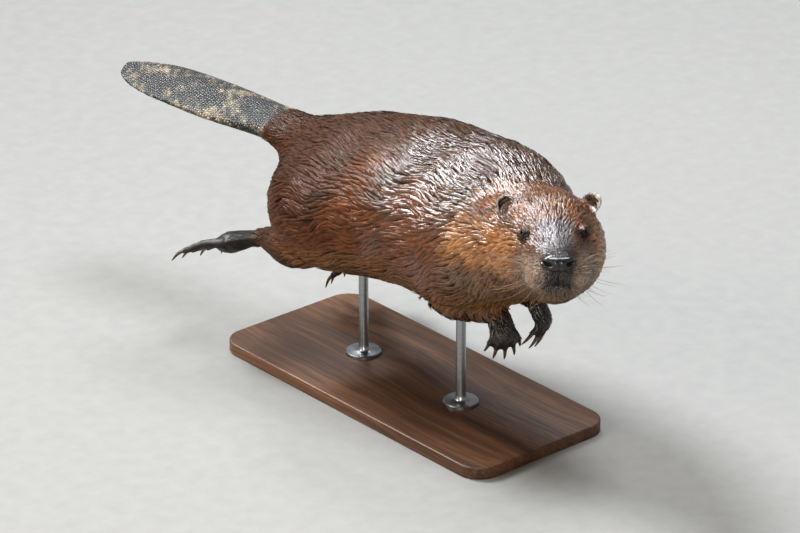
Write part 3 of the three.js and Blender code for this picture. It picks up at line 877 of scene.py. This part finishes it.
def joined_mesh(name, batches, material, slot):
    """One mesh of many small parts. Each batch holds rows of points, the faces that all its parts share,
    a colour and a place on the bake map for each point, and for hair its shading normals and its shine."""
    spots, corners, sizes, colours, maps, shading, shine, first = [], [], [], [], [], [], [], 0
    for rows, faces, colour, uv, *hair in batches:
        count, each = rows.shape[:2]
        corners.append((first + np.arange(count)[:, None] * each + np.concatenate(faces)[None, :]).ravel())
        sizes.append(np.tile([len(face) for face in faces], count))
        spots.append(rows.reshape(-1, 3))
        colours.append(colour.reshape(-1, 3))
        maps.append(uv.reshape(-1, 2))
        if hair:
            shading.append(hair[0].reshape(-1, 3))
            shine.append(np.repeat(hair[1], each))
        first += count * each
    corners, sizes = np.concatenate(corners), np.concatenate(sizes)
    mesh = bpy.data.meshes.new(name)
    mesh.vertices.add(first)
    mesh.loops.add(len(corners))
    mesh.polygons.add(len(sizes))
    mesh.vertices.foreach_set("co", np.concatenate(spots).astype(np.float32).ravel())
    mesh.loops.foreach_set("vertex_index", corners.astype(np.int32))
    mesh.polygons.foreach_set("loop_start", np.concatenate([[0], np.cumsum(sizes)[:-1]]).astype(np.int32))
    mesh.update(calc_edges=True)
    uv = np.clip(np.concatenate(maps)[corners], 0, 1).astype(np.float32)
    mesh.uv_layers.new(name="OFBake").uv.foreach_set("vector", uv.ravel())
    store(mesh, "coat_colour", np.clip(np.concatenate(colours), 0, 1))
    mesh.shade_smooth()
    if shading:
        mesh.normals_split_custom_set_from_vertices(np.concatenate(shading))
        store(mesh, "wet_shine", np.concatenate(shine))
    mesh.materials.append(material)
    piece = placed(name, mesh)
    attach(piece, "root")


def make_coat(field, material):
    """Splits the locks by place into pieces that each stay under the limit of triangles."""
    locks = make_locks(field)
    kinds = np.array(KINDS)[KIND_OF_FLESH[locks["owner"]]]
    left, high = locks["root"][:, 0] > 0, locks["root"][:, 2] > BACK_FROM
    ahead = to_head(locks["root"])[:, 1] < -30
    head, trunk, ear = kinds == "head", kinds == "trunk", kinds == "ear"
    legs = np.isin(kinds, ["foreleg", "hindleg", "forepaw", "hindfoot"])
    # which locks, and how many strands in each
    groups = dict(
        coat_face=(head & ahead, 22, SHORT_HAIR, "face_fur"),
        coat_head=((head & ~ahead) | ear, 26, SHORT_HAIR, "face_fur"),
        coat_neck=(kinds == "neck", 24, LONG_HAIR, "body_fur"),
        coat_back_left=(trunk & high & left, 26, LONG_HAIR, "body_fur"),
        coat_back_right=(trunk & high & ~left, 28, LONG_HAIR, "body_fur"),
        coat_belly_left=(trunk & ~high & left, 14, LONG_HAIR, "body_fur"),
        coat_belly_right=(trunk & ~high & ~left, 16, LONG_HAIR, "body_fur"),
        coat_tail_root=(np.isin(kinds, ["tail_base", "tail_blade"]), 18, LONG_HAIR, "body_fur"),
        coat_legs=(legs, 18, SHORT_HAIR, "body_fur"))
    for name, (mask, strands, hair, slot) in groups.items():
        mine = np.nonzero(mask)[0]
        picks = np.random.default_rng(len(mine))
        joined_mesh(name, [lock_cores(locks, mine, picks), fine_strands(locks, mine, strands, hair, picks)],
                    material, slot)


# ---- materials

def add(tree, kind, values=None, links=None, ramp=(), **settings):
    """Adds one shader node with its settings, its inputs' values, the links into it and its ramp's stops,
    each a place and a grey value or a hex colour. A link from a node is from its first output."""
    made = tree.nodes.new("ShaderNode" + kind)
    for name, value in settings.items():
        setattr(made, name, value)
    for name, value in (values or {}).items():
        made.inputs[name].default_value = value
    for name, source in (links or {}).items():
        tree.links.new(source.outputs[0] if hasattr(source, "outputs") else source, made.inputs[name])
    for k, (place, value) in enumerate(ramp):
        elements = made.color_ramp.elements
        stop = elements[k] if k < len(elements) else elements.new(place)
        stop.position = place
        stop.color = (*(linear(value) if isinstance(value, str) else [value] * 3), 1)
    return made


def new_material(surface):
    """A material whose nodes are made by surface(tree), which returns the finished shader."""
    made = bpy.data.materials.new(surface.__name__)
    made.use_nodes = True
    tree = made.node_tree
    tree.nodes.clear()
    add(tree, "OutputMaterial", links={"Surface": surface(tree)})
    return made


def finished(tree, pattern, tones, values, painted=False, gloss=None, relief=None, links=None, **bump):
    """The shader of a surface whose tones follow a pattern, over the points' own colours if it is painted.
    Gloss is what drives it and its two ends; relief is its height, strength and distance."""
    tone = add(tree, "ValToRGB", links={"Fac": pattern}, ramp=tones)
    links = {"Base Color": tone, **(links or {})}
    if painted:
        base = add(tree, "Attribute", attribute_name="coat_colour")
        links["Base Color"] = add(tree, "Mix", {0: 1.0}, {6: base, 7: tone}, data_type="RGBA",
                                  blend_type="MULTIPLY").outputs[2]
    if gloss:
        driver, low, high = gloss
        links["Roughness"] = add(tree, "MapRange", {"To Min": low, "To Max": high}, {"Value": driver})
    if relief:
        height, strength, reach = relief
        links["Normal"] = add(tree, "Bump", {"Strength": strength, "Distance": reach}, {"Height": height},
                              **bump)
    return add(tree, "BsdfPrincipled", values, links)


def wet_guard_hair(tree):
    """Wet guard hair: oily, reddish-brown keratin that lies in locks and flashes white along them."""
    place = add(tree, "TexCoord").outputs["Object"]
    # locks differ from each other over about 9 mm
    patch = add(tree, "TexNoise", {"Scale": 110.0, "Detail": 3.0}, {"Vector": place})
    wet = add(tree, "Attribute", attribute_name="wet_shine").outputs["Fac"]
    film = add(tree, "MapRange", {"To Min": 0.05, "To Max": 1.0}, {"Value": wet})
    return finished(tree, patch, [(0.30, 0.62), (0.72, 1.0)],
                    {"IOR": 1.5, "Specular IOR Level": 0.26, "Coat Roughness": 0.12, "Coat IOR": 1.6},
                    painted=True, gloss=(wet, 0.56, 0.22), links={"Coat Weight": film})


def wet_skin_and_leather(tree):
    """Wet underfur and bare leather: dark between the hairs, partly with painted shade, finely creased where
    it is bare.
    """
    place = add(tree, "TexCoord").outputs["Object"]
    bare = add(tree, "Attribute", attribute_name="bare").outputs["Fac"]
    # underfur fibres about 2 mm apart, leather scales about 1.6 mm across
    fibre = add(tree, "TexNoise", {"Scale": 520.0, "Detail": 4.0, "Roughness": 0.6}, {"Vector": place})
    grain = add(tree, "TexVoronoi", {"Scale": 620.0}, {"Vector": place}, feature="F1")
    form = add(tree, "Mix", links={0: bare, 2: fibre, 3: grain})
    # underfur is matt, bare leather has a soft wet shine
    return finished(tree, form, [(0.15, 0.95), (0.75, 0.60)], {"IOR": 1.45},
                    painted=True, gloss=(bare, 0.82, 0.46), relief=(form, 0.38, 0.5 * MM))


def tail_keratin(tree):
    """Tail scales: hard grey-brown keratin plates, paler on their crowns, with pale patches of wear and
    painted glints, and wet between.
    """
    place = add(tree, "TexCoord").outputs["Object"]
    # grit about 1 mm across
    grit = add(tree, "TexNoise", {"Scale": 900.0, "Detail": 3.0}, {"Vector": place})
    return finished(tree, grit, [(0.3, 0.7), (0.7, 1.0)],
                    {"IOR": 1.5, "Coat Weight": 0.2, "Coat Roughness": 0.2},
                    painted=True, gloss=(grit, 0.26, 0.52), relief=(grit, 0.4, 0.3 * MM))


def wet_nose_leather(tree):
    """Nose pad: black pebbled skin with a film of water, so it shines in small broken lights."""
    place = add(tree, "TexCoord").outputs["Object"]
    # pebbles about 1.7 mm across
    pebble = add(tree, "TexVoronoi", {"Scale": 600.0}, {"Vector": place}, feature="SMOOTH_F1")
    return finished(tree, pebble, [(0.1, "#2b282b"), (0.6, "#0e0c0d")],
                    {"Roughness": 0.38, "IOR": 1.4, "Coat Weight": 1.0, "Coat Roughness": 0.12},
                    relief=(pebble, 0.9, 0.5 * MM), invert=True)


def eye_cornea(tree):
    """Eye: a near-black brown iris under a clear wet cornea, so it shows one sharp light."""
    ring = add(tree, "Attribute", attribute_name="off_pupil").outputs["Fac"]
    iris = [(0.0, "#050403"), (0.34, "#070504"), (0.40, "#2a170c"), (0.62, "#1d1009"), (0.7, "#0a0605")]
    return finished(tree, ring, iris, {"Roughness": 0.04, "IOR": 1.38})


def claw_horn(tree):
    """Claw: dark horn with fine streaks, polished by digging."""
    place = add(tree, "TexCoord").outputs["Object"]
    # streaks about 2.6 mm apart
    streak = add(tree, "TexNoise", {"Scale": 380.0, "Detail": 3.0}, {"Vector": place})
    return finished(tree, streak, [(0.30, "#2c221b"), (0.55, "#574535"), (0.75, "#85705a")],
                    {"Roughness": 0.3, "IOR": 1.55}, relief=(streak, 0.25, 0.3 * MM))


def stained_oak(tree):
    """Dark stained oak: straight grain along the plank, open pores, a soft satin film."""
    place = add(tree, "TexCoord").outputs["Object"]
    bent = add(tree, "TexNoise", {"Scale": 3.0, "Detail": 2.0}, {"Vector": place}).outputs["Color"]
    moved = add(tree, "Mix", {0: 0.045}, {4: place, 5: bent}, data_type="VECTOR").outputs[1]
    # grain lines about 4 mm apart across the plank and 60 times longer along it, and broader bands
    lines = add(tree, "Mapping", {"Scale": (260.0, 4.5, 260.0)}, {"Vector": moved})
    bands = add(tree, "Mapping", {"Scale": (38.0, 1.6, 38.0)}, {"Vector": moved})
    grain = add(tree, "TexNoise", {"Scale": 1.0, "Detail": 5.0, "Roughness": 0.62}, {"Vector": lines})
    wide = add(tree, "TexNoise", {"Scale": 1.0, "Detail": 3.0}, {"Vector": bands})
    both = add(tree, "Mix", {0: 0.45}, {2: grain, 3: wide})
    return finished(tree, both, [(0.34, "#35231a"), (0.47, "#553a27"), (0.58, "#6d4c34"), (0.70, "#7f5d42")],
                    {"IOR": 1.5}, gloss=(both, 0.52, 0.34), relief=(grain, 0.3, 0.4 * MM))


def brushed_stainless_steel(tree):
    """Brushed stainless steel: fine rings round the rod that stretch its highlight along it."""
    place = add(tree, "TexCoord").outputs["Object"]
    # brushing lines about 0.8 mm apart up the rod, coarser than life so that they show
    sized = add(tree, "Mapping", {"Scale": (60.0, 60.0, 1250.0)}, {"Vector": place})
    lines = add(tree, "TexNoise", {"Scale": 1.0, "Detail": 3.0}, {"Vector": sized})
    return finished(tree, lines, [(0.3, "#989b9e"), (0.7, "#b0b2b5")], {"Metallic": 1.0},
                    gloss=(lines, 0.28, 0.38), relief=(lines, 0.15, 0.1 * MM))


def studio_paper(tree):
    """Matt pale paper: plain, with a trace of fibre."""
    place = add(tree, "TexCoord").outputs["Object"]
    fibre = add(tree, "TexNoise", {"Scale": 40.0, "Detail": 3.0}, {"Vector": place})
    return finished(tree, fibre, [(0.3, "#8f8e8b"), (0.7, "#94938f")],
                    {"Roughness": 0.9, "Specular IOR Level": 0.2})


# ---- eyes, nose, claws, whiskers, scales

def settle(piece, material, slot, *nodes, crease=None):
    """Smooths and dresses a finished piece, lets it ride, and hides the nodes it stands for."""
    apply_place(piece)
    piece.data.shade_smooth()
    if crease:
        bpy.ops.object.shade_smooth_by_angle(angle=math.radians(crease))
    piece.data.materials.append(material)
    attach(piece, "root")
    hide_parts(*nodes)


def make_eye(side, material):
    """An eyeball whose cornea swells a little over the pupil."""
    eye = primitive(f"eyeball_{side}", bpy.ops.mesh.primitive_uv_sphere_add,
                    segments=48, ring_count=32, radius=EYE_RADIUS, location=EYE[side])
    apply_place(eye)
    spots = mesh_points(eye.data)
    toward = unit(spots - EYE[side])
    off = np.arccos(np.clip(toward @ eye_axes(side)[0], -1, 1)) / math.radians(90)
    move_points(eye.data, spots + toward * (0.5 * MM * smooth(off, 0.62, 0.2))[:, None])
    store(eye.data, "off_pupil", off)
    settle(eye, material, "eye", f"eye_{side}")


def make_nose(material):
    """The nose pad: broad above and narrow below, a comma-shaped nostril in each side, a groove between."""
    nose = primitive("nose_pad", bpy.ops.mesh.primitive_uv_sphere_add,
                     segments=128, ring_count=96, radius=1.0)
    x, z, y = mesh_points(nose.data).T
    # half sizes in mm, and how far the pad hangs below its plain solid
    wide, deep, tall, lower = 24.0, 12.0, 12.0, 1.5
    full = np.stack([np.sign(x) * np.abs(x) ** 0.86 * wide, y * deep, z * tall], 1)
    full[:, 0] *= 1 - 0.20 * smooth(full[:, 2], -1, -12)
    front = smooth(-full[:, 1], -3.0, 2.0)
    side, up = np.abs(full[:, 0]), full[:, 2]
    half = np.stack([side, full[:, 1], up], 1)
    rise = 0
    # the wing over each nostril, the lip under it, and the middle: height, place and reach in mm
    for height, centre, reach in ((1.6, (15.0, -5, 6.4), (6.5, 8, 3.0)),
                                  (1.1, (8.0, -11, -6.0), (5.0, 8, 3.4)),
                                  (0.9, (4.5, -12, 3.6), (4.2, 8, 5.0))):
        rise += height * hill(half, centre, reach)
    pit = hill(half, (14.8, -7.0, 0.0), (4.6, 12, 3.3))
    comma = hill(half, (19.2, -3.0, 2.6), (3.6, 9, 1.7))
    rise -= 9.0 * np.clip(np.maximum(pit, 0.75 * comma) * 1.3, 0, 1) ** 1.3 * front
    rise -= 1.5 * ridge(side, 1.2) * smooth(up, 7, -3) * front
    rise -= 0.9 * ridge(side, 4.5) * smooth(up, 8, 12)
    full += unit(np.stack([x / wide, y / deep, z / tall], 1)) * rise[:, None]
    move_points(nose.data, from_head(full + to_head(NOSE) - [0, 0, lower]))
    in_edit(nose, face_outwards)
    settle(nose, material, "nose_skin", "nose")


def make_claws(foot, material):
    """The five claws of one foot, rounded from the plain solids."""
    nodes = [f"claw_{foot}_{k}" for k in DIGITS]
    copies = [cad_copy(node) for node in nodes]
    for copy in copies:
        swell(copy.data, 0.45 * MM)
    claws = joined(f"claws_{foot}", *copies)
    apply_modifier(claws, "SUBSURF", levels=2, render_levels=2)
    settle(claws, material, "claw", *nodes)


def make_whiskers(field, material):
    """Stiff tapering whiskers in rows on the two whisker pads."""
    picks = np.random.default_rng(61)
    bends, sides, thickest = 9, 4, 0.38 * MM
    t = np.linspace(0, 1, bends)[:, None]
    rows = []
    for sign, row, k in [(sign, row, k) for sign in (-1, 1) for row in range(5) for k in range(6)]:
        # the root's place in the head's own millimetres
        x = sign * (17 + 2.6 * k + picks.uniform(-0.7, 0.7))
        y = -96 + 4.4 * k + picks.uniform(-1, 1)
        z = -6 - 5.2 * row + picks.uniform(-0.8, 0.8)
        root, normal, _ = (part[0] for part in nearest(field["tree"], [from_head([x, y, z])]))
        length = picks.uniform(34, 58) * (0.62 + 0.09 * k) * MM
        aim = unit(normal * 0.9 - AHEAD * 0.75 + ACROSS * sign * 0.5 + ABOVE * picks.uniform(-0.25, 0.15))
        start = unit(normal + 0.5 * aim)
        line = root - normal * 0.8 * MM + length * (start * t * (1 - t) + aim * t * t)
        line = line - UP * length * 0.10 * t ** 2
        run = unit(np.gradient(line, axis=0))
        up = unit(np.cross(run, ACROSS))
        over = np.cross(run, up)
        ring = [line + thickest * (1 - 0.88 * t) * (up * math.cos(a) + over * math.sin(a))
                for a in np.arange(sides) * TURN / sides]
        rows.append(np.stack(ring, 1).reshape(-1, 3))
    faces = [(low + s, low + (s + 1) % sides, low + sides + (s + 1) % sides, low + sides + s)
             for low in range(0, (bends - 1) * sides, sides) for s in range(sides)]
    faces += [tuple(range((bends - 1) * sides, bends * sides)), tuple(reversed(range(sides)))]
    rows = np.stack(rows)
    colour = np.ones(rows.shape) * COLOURS["whisker"]
    places = np.array([((k % 10) / 10 + 0.02, (k // 10) / 10 + 0.02) for k in range(len(rows))])
    patch = np.stack([np.tile([0, 1, 1, 0], bends), np.repeat(np.linspace(0, 1, bends), sides)], 1)
    uv = places[:, None, :] + 0.002 * patch
    joined_mesh("whiskers", [(rows, faces, colour, uv)], material, "face_fur")


def section_track(field, edges, start):
    """The outline of the tail at one station, as points in order round it."""
    spots = field["spots"]
    level = (spots - middle("tail_blade")) @ TAIL_LONG - start
    a, b = edges[(level[edges[:, 0]] < 0) != (level[edges[:, 1]] < 0)].T
    if len(a) < 12:
        return None
    places = spots[a] + (spots[b] - spots[a]) * (level[a] / (level[a] - level[b]))[:, None]
    rel = places - (places.min(0) + places.max(0)) / 2
    wide, tall = rel @ TAIL_WIDE, rel @ TAIL_UP
    order = np.argsort(np.arctan2(tall / np.abs(tall).max(), wide / np.abs(wide).max()))
    return places[order]


def make_scales(field, material):
    """Rows of small six-sided plates round the tail blade, each row half a plate along from the last."""
    row_gap, plate_gap, half_long, half_wide = 4.6 * MM, 5.0 * MM, 2.9 * MM, 2.75 * MM
    on_tail = share_of(field["weights"], "tail_blade") > 0.3
    edges = field["edges"][on_tail[field["edges"]].all(1)]
    reach = (field["spots"][on_tail] - middle("tail_blade")) @ TAIL_LONG
    picks = np.random.default_rng(91)
    spots = []
    for row, start in enumerate(np.arange(reach.min() + 2 * MM, reach.max() - 1.5 * MM, row_gap)):
        track = section_track(field, edges, start)
        if track is None:
            continue
        loop = np.concatenate([track, track[:1]])
        run = np.concatenate([[0], np.cumsum(np.linalg.norm(np.diff(loop, axis=0), axis=1))])
        count = max(int(run[-1] / plate_gap), 4)
        marks = (np.arange(count) + 0.5 * (row % 2) + picks.uniform(-0.13, 0.13, count)) / count % 1 * run[-1]
        spots.append(np.stack([np.interp(marks, run, loop[:, k]) for k in range(3)], 1))
    spots, _, face = nearest(field["tree"], np.concatenate(spots))
    tri = field["triangles"][face]
    normal = unit(field["normals"][tri].mean(1))
    back = unit(TAIL_LONG - normal * (normal @ TAIL_LONG)[:, None])
    across = np.cross(back, normal)
    turns = np.arange(6) * math.pi / 3
    rows = [spots + normal * 0.50 * MM * picks.uniform(0.8, 1.2, len(spots))[:, None]]
    for size, sunk in ((0.78, False), (1.0, True)):
        for turn in turns:
            wobble = picks.uniform(0.9, 1.1, len(spots))[:, None] * size
            spot, out, _ = nearest(field["tree"], spots + back * math.cos(turn) * half_long * wobble
                                   + across * math.sin(turn) * half_wide * wobble)
            # the rear edge of a plate stands over the front edge of the next
            lift = (-0.25 if sunk else 0.42 + 0.24 * math.cos(turn)) * MM
            rows.append(spot + out * lift)
    faces = [(0, 1 + k, 1 + (k + 1) % 6) for k in range(6)]
    faces += [(1 + k, 7 + k, 7 + (k + 1) % 6, 1 + (k + 1) % 6) for k in range(6)]
    tone = picks.uniform(0.5, 1.5, len(spots))[:, None, None]
    # each plate is lighter on its crown and dark round its sunk edge, a painted shade in the gaps between
    # plates
    fade = np.array([1.15] + [1.1] * 6 + [0.45] * 6)[None, :, None]
    colour = field["colour"][tri].mean(1)[:, None, :] * tone * fade
    around = np.array([(0, 0)] + [(math.cos(a) * size, math.sin(a) * size)
                                  for size in (0.33, 0.5) for a in turns])
    uv = field["map"][face].mean(1)[:, None, :] + PATCH * around[None]
    joined_mesh("tail_plates", [(np.stack(rows, 1), faces, colour, uv)], material, "tail_scales")


# ---- the stand

def make_base(material):
    """The plinth: a flat board with round corners and a softened edge."""
    low, high = (np.array(c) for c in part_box("stand_base"))
    corner_radius, edge_softness = 36 * MM, 2.2 * MM
    base = primitive("plinth", bpy.ops.mesh.primitive_cube_add, size=1.0, location=(low + high) / 2,
                     scale=high - low)
    apply_place(base)
    for upright, size, segments in ((True, corner_radius, 12), (False, edge_softness, 4)):
        ends = mesh_points(base.data)[mesh_edges(base.data)][..., 2]
        rise = np.abs(ends[:, 0] - ends[:, 1])
        in_edit(base, lambda: bpy.ops.mesh.bevel(offset=size, segments=segments, profile=0.5, affect="EDGES"),
                chosen=rise > 1 * MM if upright else rise < 0.1 * MM, kind="EDGE")
    settle(base, material, "stand_wood", "stand_base", crease=32)


def make_rod(node, material):
    """A steel rod turned with a flat foot, a small fillet and a bevelled top."""
    low, high = (np.array(c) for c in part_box(node))
    foot, tall = (high[0] - low[0]) / 2, high[2] - low[2]
    rod = 7 * MM
    outline = [(0, 0), (foot, 0), (foot, 3.6 * MM), (foot - 1.4 * MM, 5 * MM), (rod + 6 * MM, 5.2 * MM),
               (rod + 2.4 * MM, 6.2 * MM), (rod + 0.6 * MM, 9 * MM), (rod, 14 * MM), (rod, tall - 1 * MM),
               (rod - 1 * MM, tall), (0, tall)]
    mesh = bpy.data.meshes.new(node + "_steel")
    mesh.from_pydata([(x, 0, z) for x, z in outline], [(k, k + 1) for k in range(len(outline) - 1)], [])
    piece = placed(node + "_steel", mesh)
    piece.location = (*(low + high)[:2] / 2, low[2])
    in_edit(piece, lambda: bpy.ops.mesh.spin(steps=48, angle=TURN, center=piece.location, axis=UP),
            lambda: bpy.ops.mesh.select_all(action="SELECT"), merge_doubles, face_outwards)
    settle(piece, material, "stand_steel", node, crease=30)


# ---- room, lights and camera

def make_camera():
    """A long lens six metres off, ahead of the animal's right shoulder and 25 degrees above it."""
    turn, lift, far = math.radians(-40.7), math.radians(25.0), 6.0
    back = np.array([math.sin(turn) * math.cos(lift), -math.cos(turn) * math.cos(lift), math.sin(lift)])
    right = np.array([math.cos(turn), math.sin(turn), 0.0])
    up = np.cross(back, right)
    camera = placed("camera", bpy.data.cameras.new("camera"))
    camera.data.sensor_width, camera.data.lens, camera.data.clip_end = 36.0, 205.2, 60.0
    nose_tip = NOSE + np.array([-4.4, -8.0, -2.4]) * MM
    aside, below = 0.2105, 0.0007      # from the nose tip to the middle of the view
    place = Vector(nose_tip + back * far - right * aside - up * below)
    camera.matrix_world = Matrix.Translation(place) @ Matrix(np.stack([right, up, back], 1)).to_4x4()
    bpy.context.scene.camera = camera


def make_light(name, kind, place, size, power, tint):
    """A softbox that faces the animal's middle, or broad even daylight from that side of it."""
    light = placed(name, bpy.data.lights.new(name, kind))
    setattr(light.data, "angle" if kind == "SUN" else "size", size)
    light.data.energy = power
    light.data.color = linear(tint)
    place, target = Vector(place), Vector((0.0, -0.05, 0.33))
    facing = (place - target).to_track_quat("Z", "Y").to_matrix().to_4x4()
    light.matrix_world = Matrix.Translation(place) @ facing


def make_room(material):
    floor = primitive("studio_floor", bpy.ops.mesh.primitive_plane_add, size=24.0, location=(0, 0, 0))
    floor.data.materials.append(material)
    world = bpy.data.worlds.new("studio")
    world.use_nodes = True
    tree = world.node_tree
    upward = add(tree, "SeparateXYZ", links={0: add(tree, "TexCoord").outputs["Generated"]})
    sky = add(tree, "ValToRGB", links={"Fac": upward.outputs["Z"]},
              ramp=[(0.0, 0.30), (0.04, 0.36), (0.15, 0.42), (0.45, 0.16)])
    tree.links.new(sky.outputs["Color"], tree.nodes["Background"].inputs["Color"])
    bpy.context.scene.world = world
    # name, kind, place, size, power and tint
    make_light("key", "SUN", (-0.5, 2.0, 2.7), 0.34, 4.2, "#f6faff")
    make_light("crown", "AREA", (0.2, -0.4, 3.1), 1.0, 56.0, "#f4f8ff")
    make_light("ridge", "AREA", (1.1, 1.5, 2.6), 0.8, 36.0, "#f6faff")
    make_light("side", "AREA", (-2.5, 0.6, 1.7), 1.5, 38.0, "#fff6ea")
    make_light("fill", "AREA", (-2.6, -2.6, 0.9), 0.9, 32.0, "#fff4e6")
    bpy.context.scene.view_settings.view_transform = "Standard"
    bpy.context.scene.view_settings.look = "Medium High Contrast"


# ---- putting it together

def finish_skin(skin, field, material):
    """Adds the lid rims, colours the skin and lets it stand for all the flesh."""
    blade, ear, paw, foot = (share_of(field["weights"], kind)
                             for kind in ("tail_blade", "ear", "forepaw", "hindfoot"))
    # the ear rims keep their painted glint on the skin as well
    rim = ear_glint_share(field["spots"], field["normals"]) * ear
    # dark under the hair, from dark underfur and painted shade between the hairs; brighter where the skin is
    # bare and on the painted glint of the ear rims
    shade = np.maximum(np.where(field["length"] > 1.5 * MM, 0.34, 0.9), 0.9 * rim)
    store(skin.data, "coat_colour", field["colour"] * shade[:, None])
    store(skin.data, "bare", np.clip(blade + foot + 0.6 * paw + 0.8 * rim, 0, 1))
    points, faces = lid_rims()
    rims = bpy.data.meshes.new("rims")
    rims.from_pydata([tuple(p) for p in points], [], faces)
    store(rims, "coat_colour", np.ones((len(points), 3)) * COLOURS["lid"])
    store(rims, "bare", np.ones(len(points)))
    rims.uv_layers.new(name="skin_map")
    extra = placed("rims", rims)
    in_edit(extra, face_outwards)
    settle(joined("skin", skin, extra), material, "body_fur", *FLESH)


def main():
    skin, surface, owners = make_skin()
    field = grown_skin(skin, surface, owners)
    hair = new_material(wet_guard_hair)
    finish_skin(skin, field, new_material(wet_skin_and_leather))
    make_coat(field, hair)
    make_scales(field, new_material(tail_keratin))
    make_whiskers(field, hair)
    make_nose(new_material(wet_nose_leather))
    horn, cornea = new_material(claw_horn), new_material(eye_cornea)
    steel = new_material(brushed_stainless_steel)
    for side in SIDES:
        make_eye(side, cornea)
        for foot in ("forepaw", "hindfoot"):
            make_claws(f"{foot}_{side}", horn)
    make_base(new_material(stained_oak))
    for node in ("stand_rod_front", "stand_rod_rear"):
        make_rod(node, steel)
    make_room(new_material(studio_paper))
    make_camera()


main()
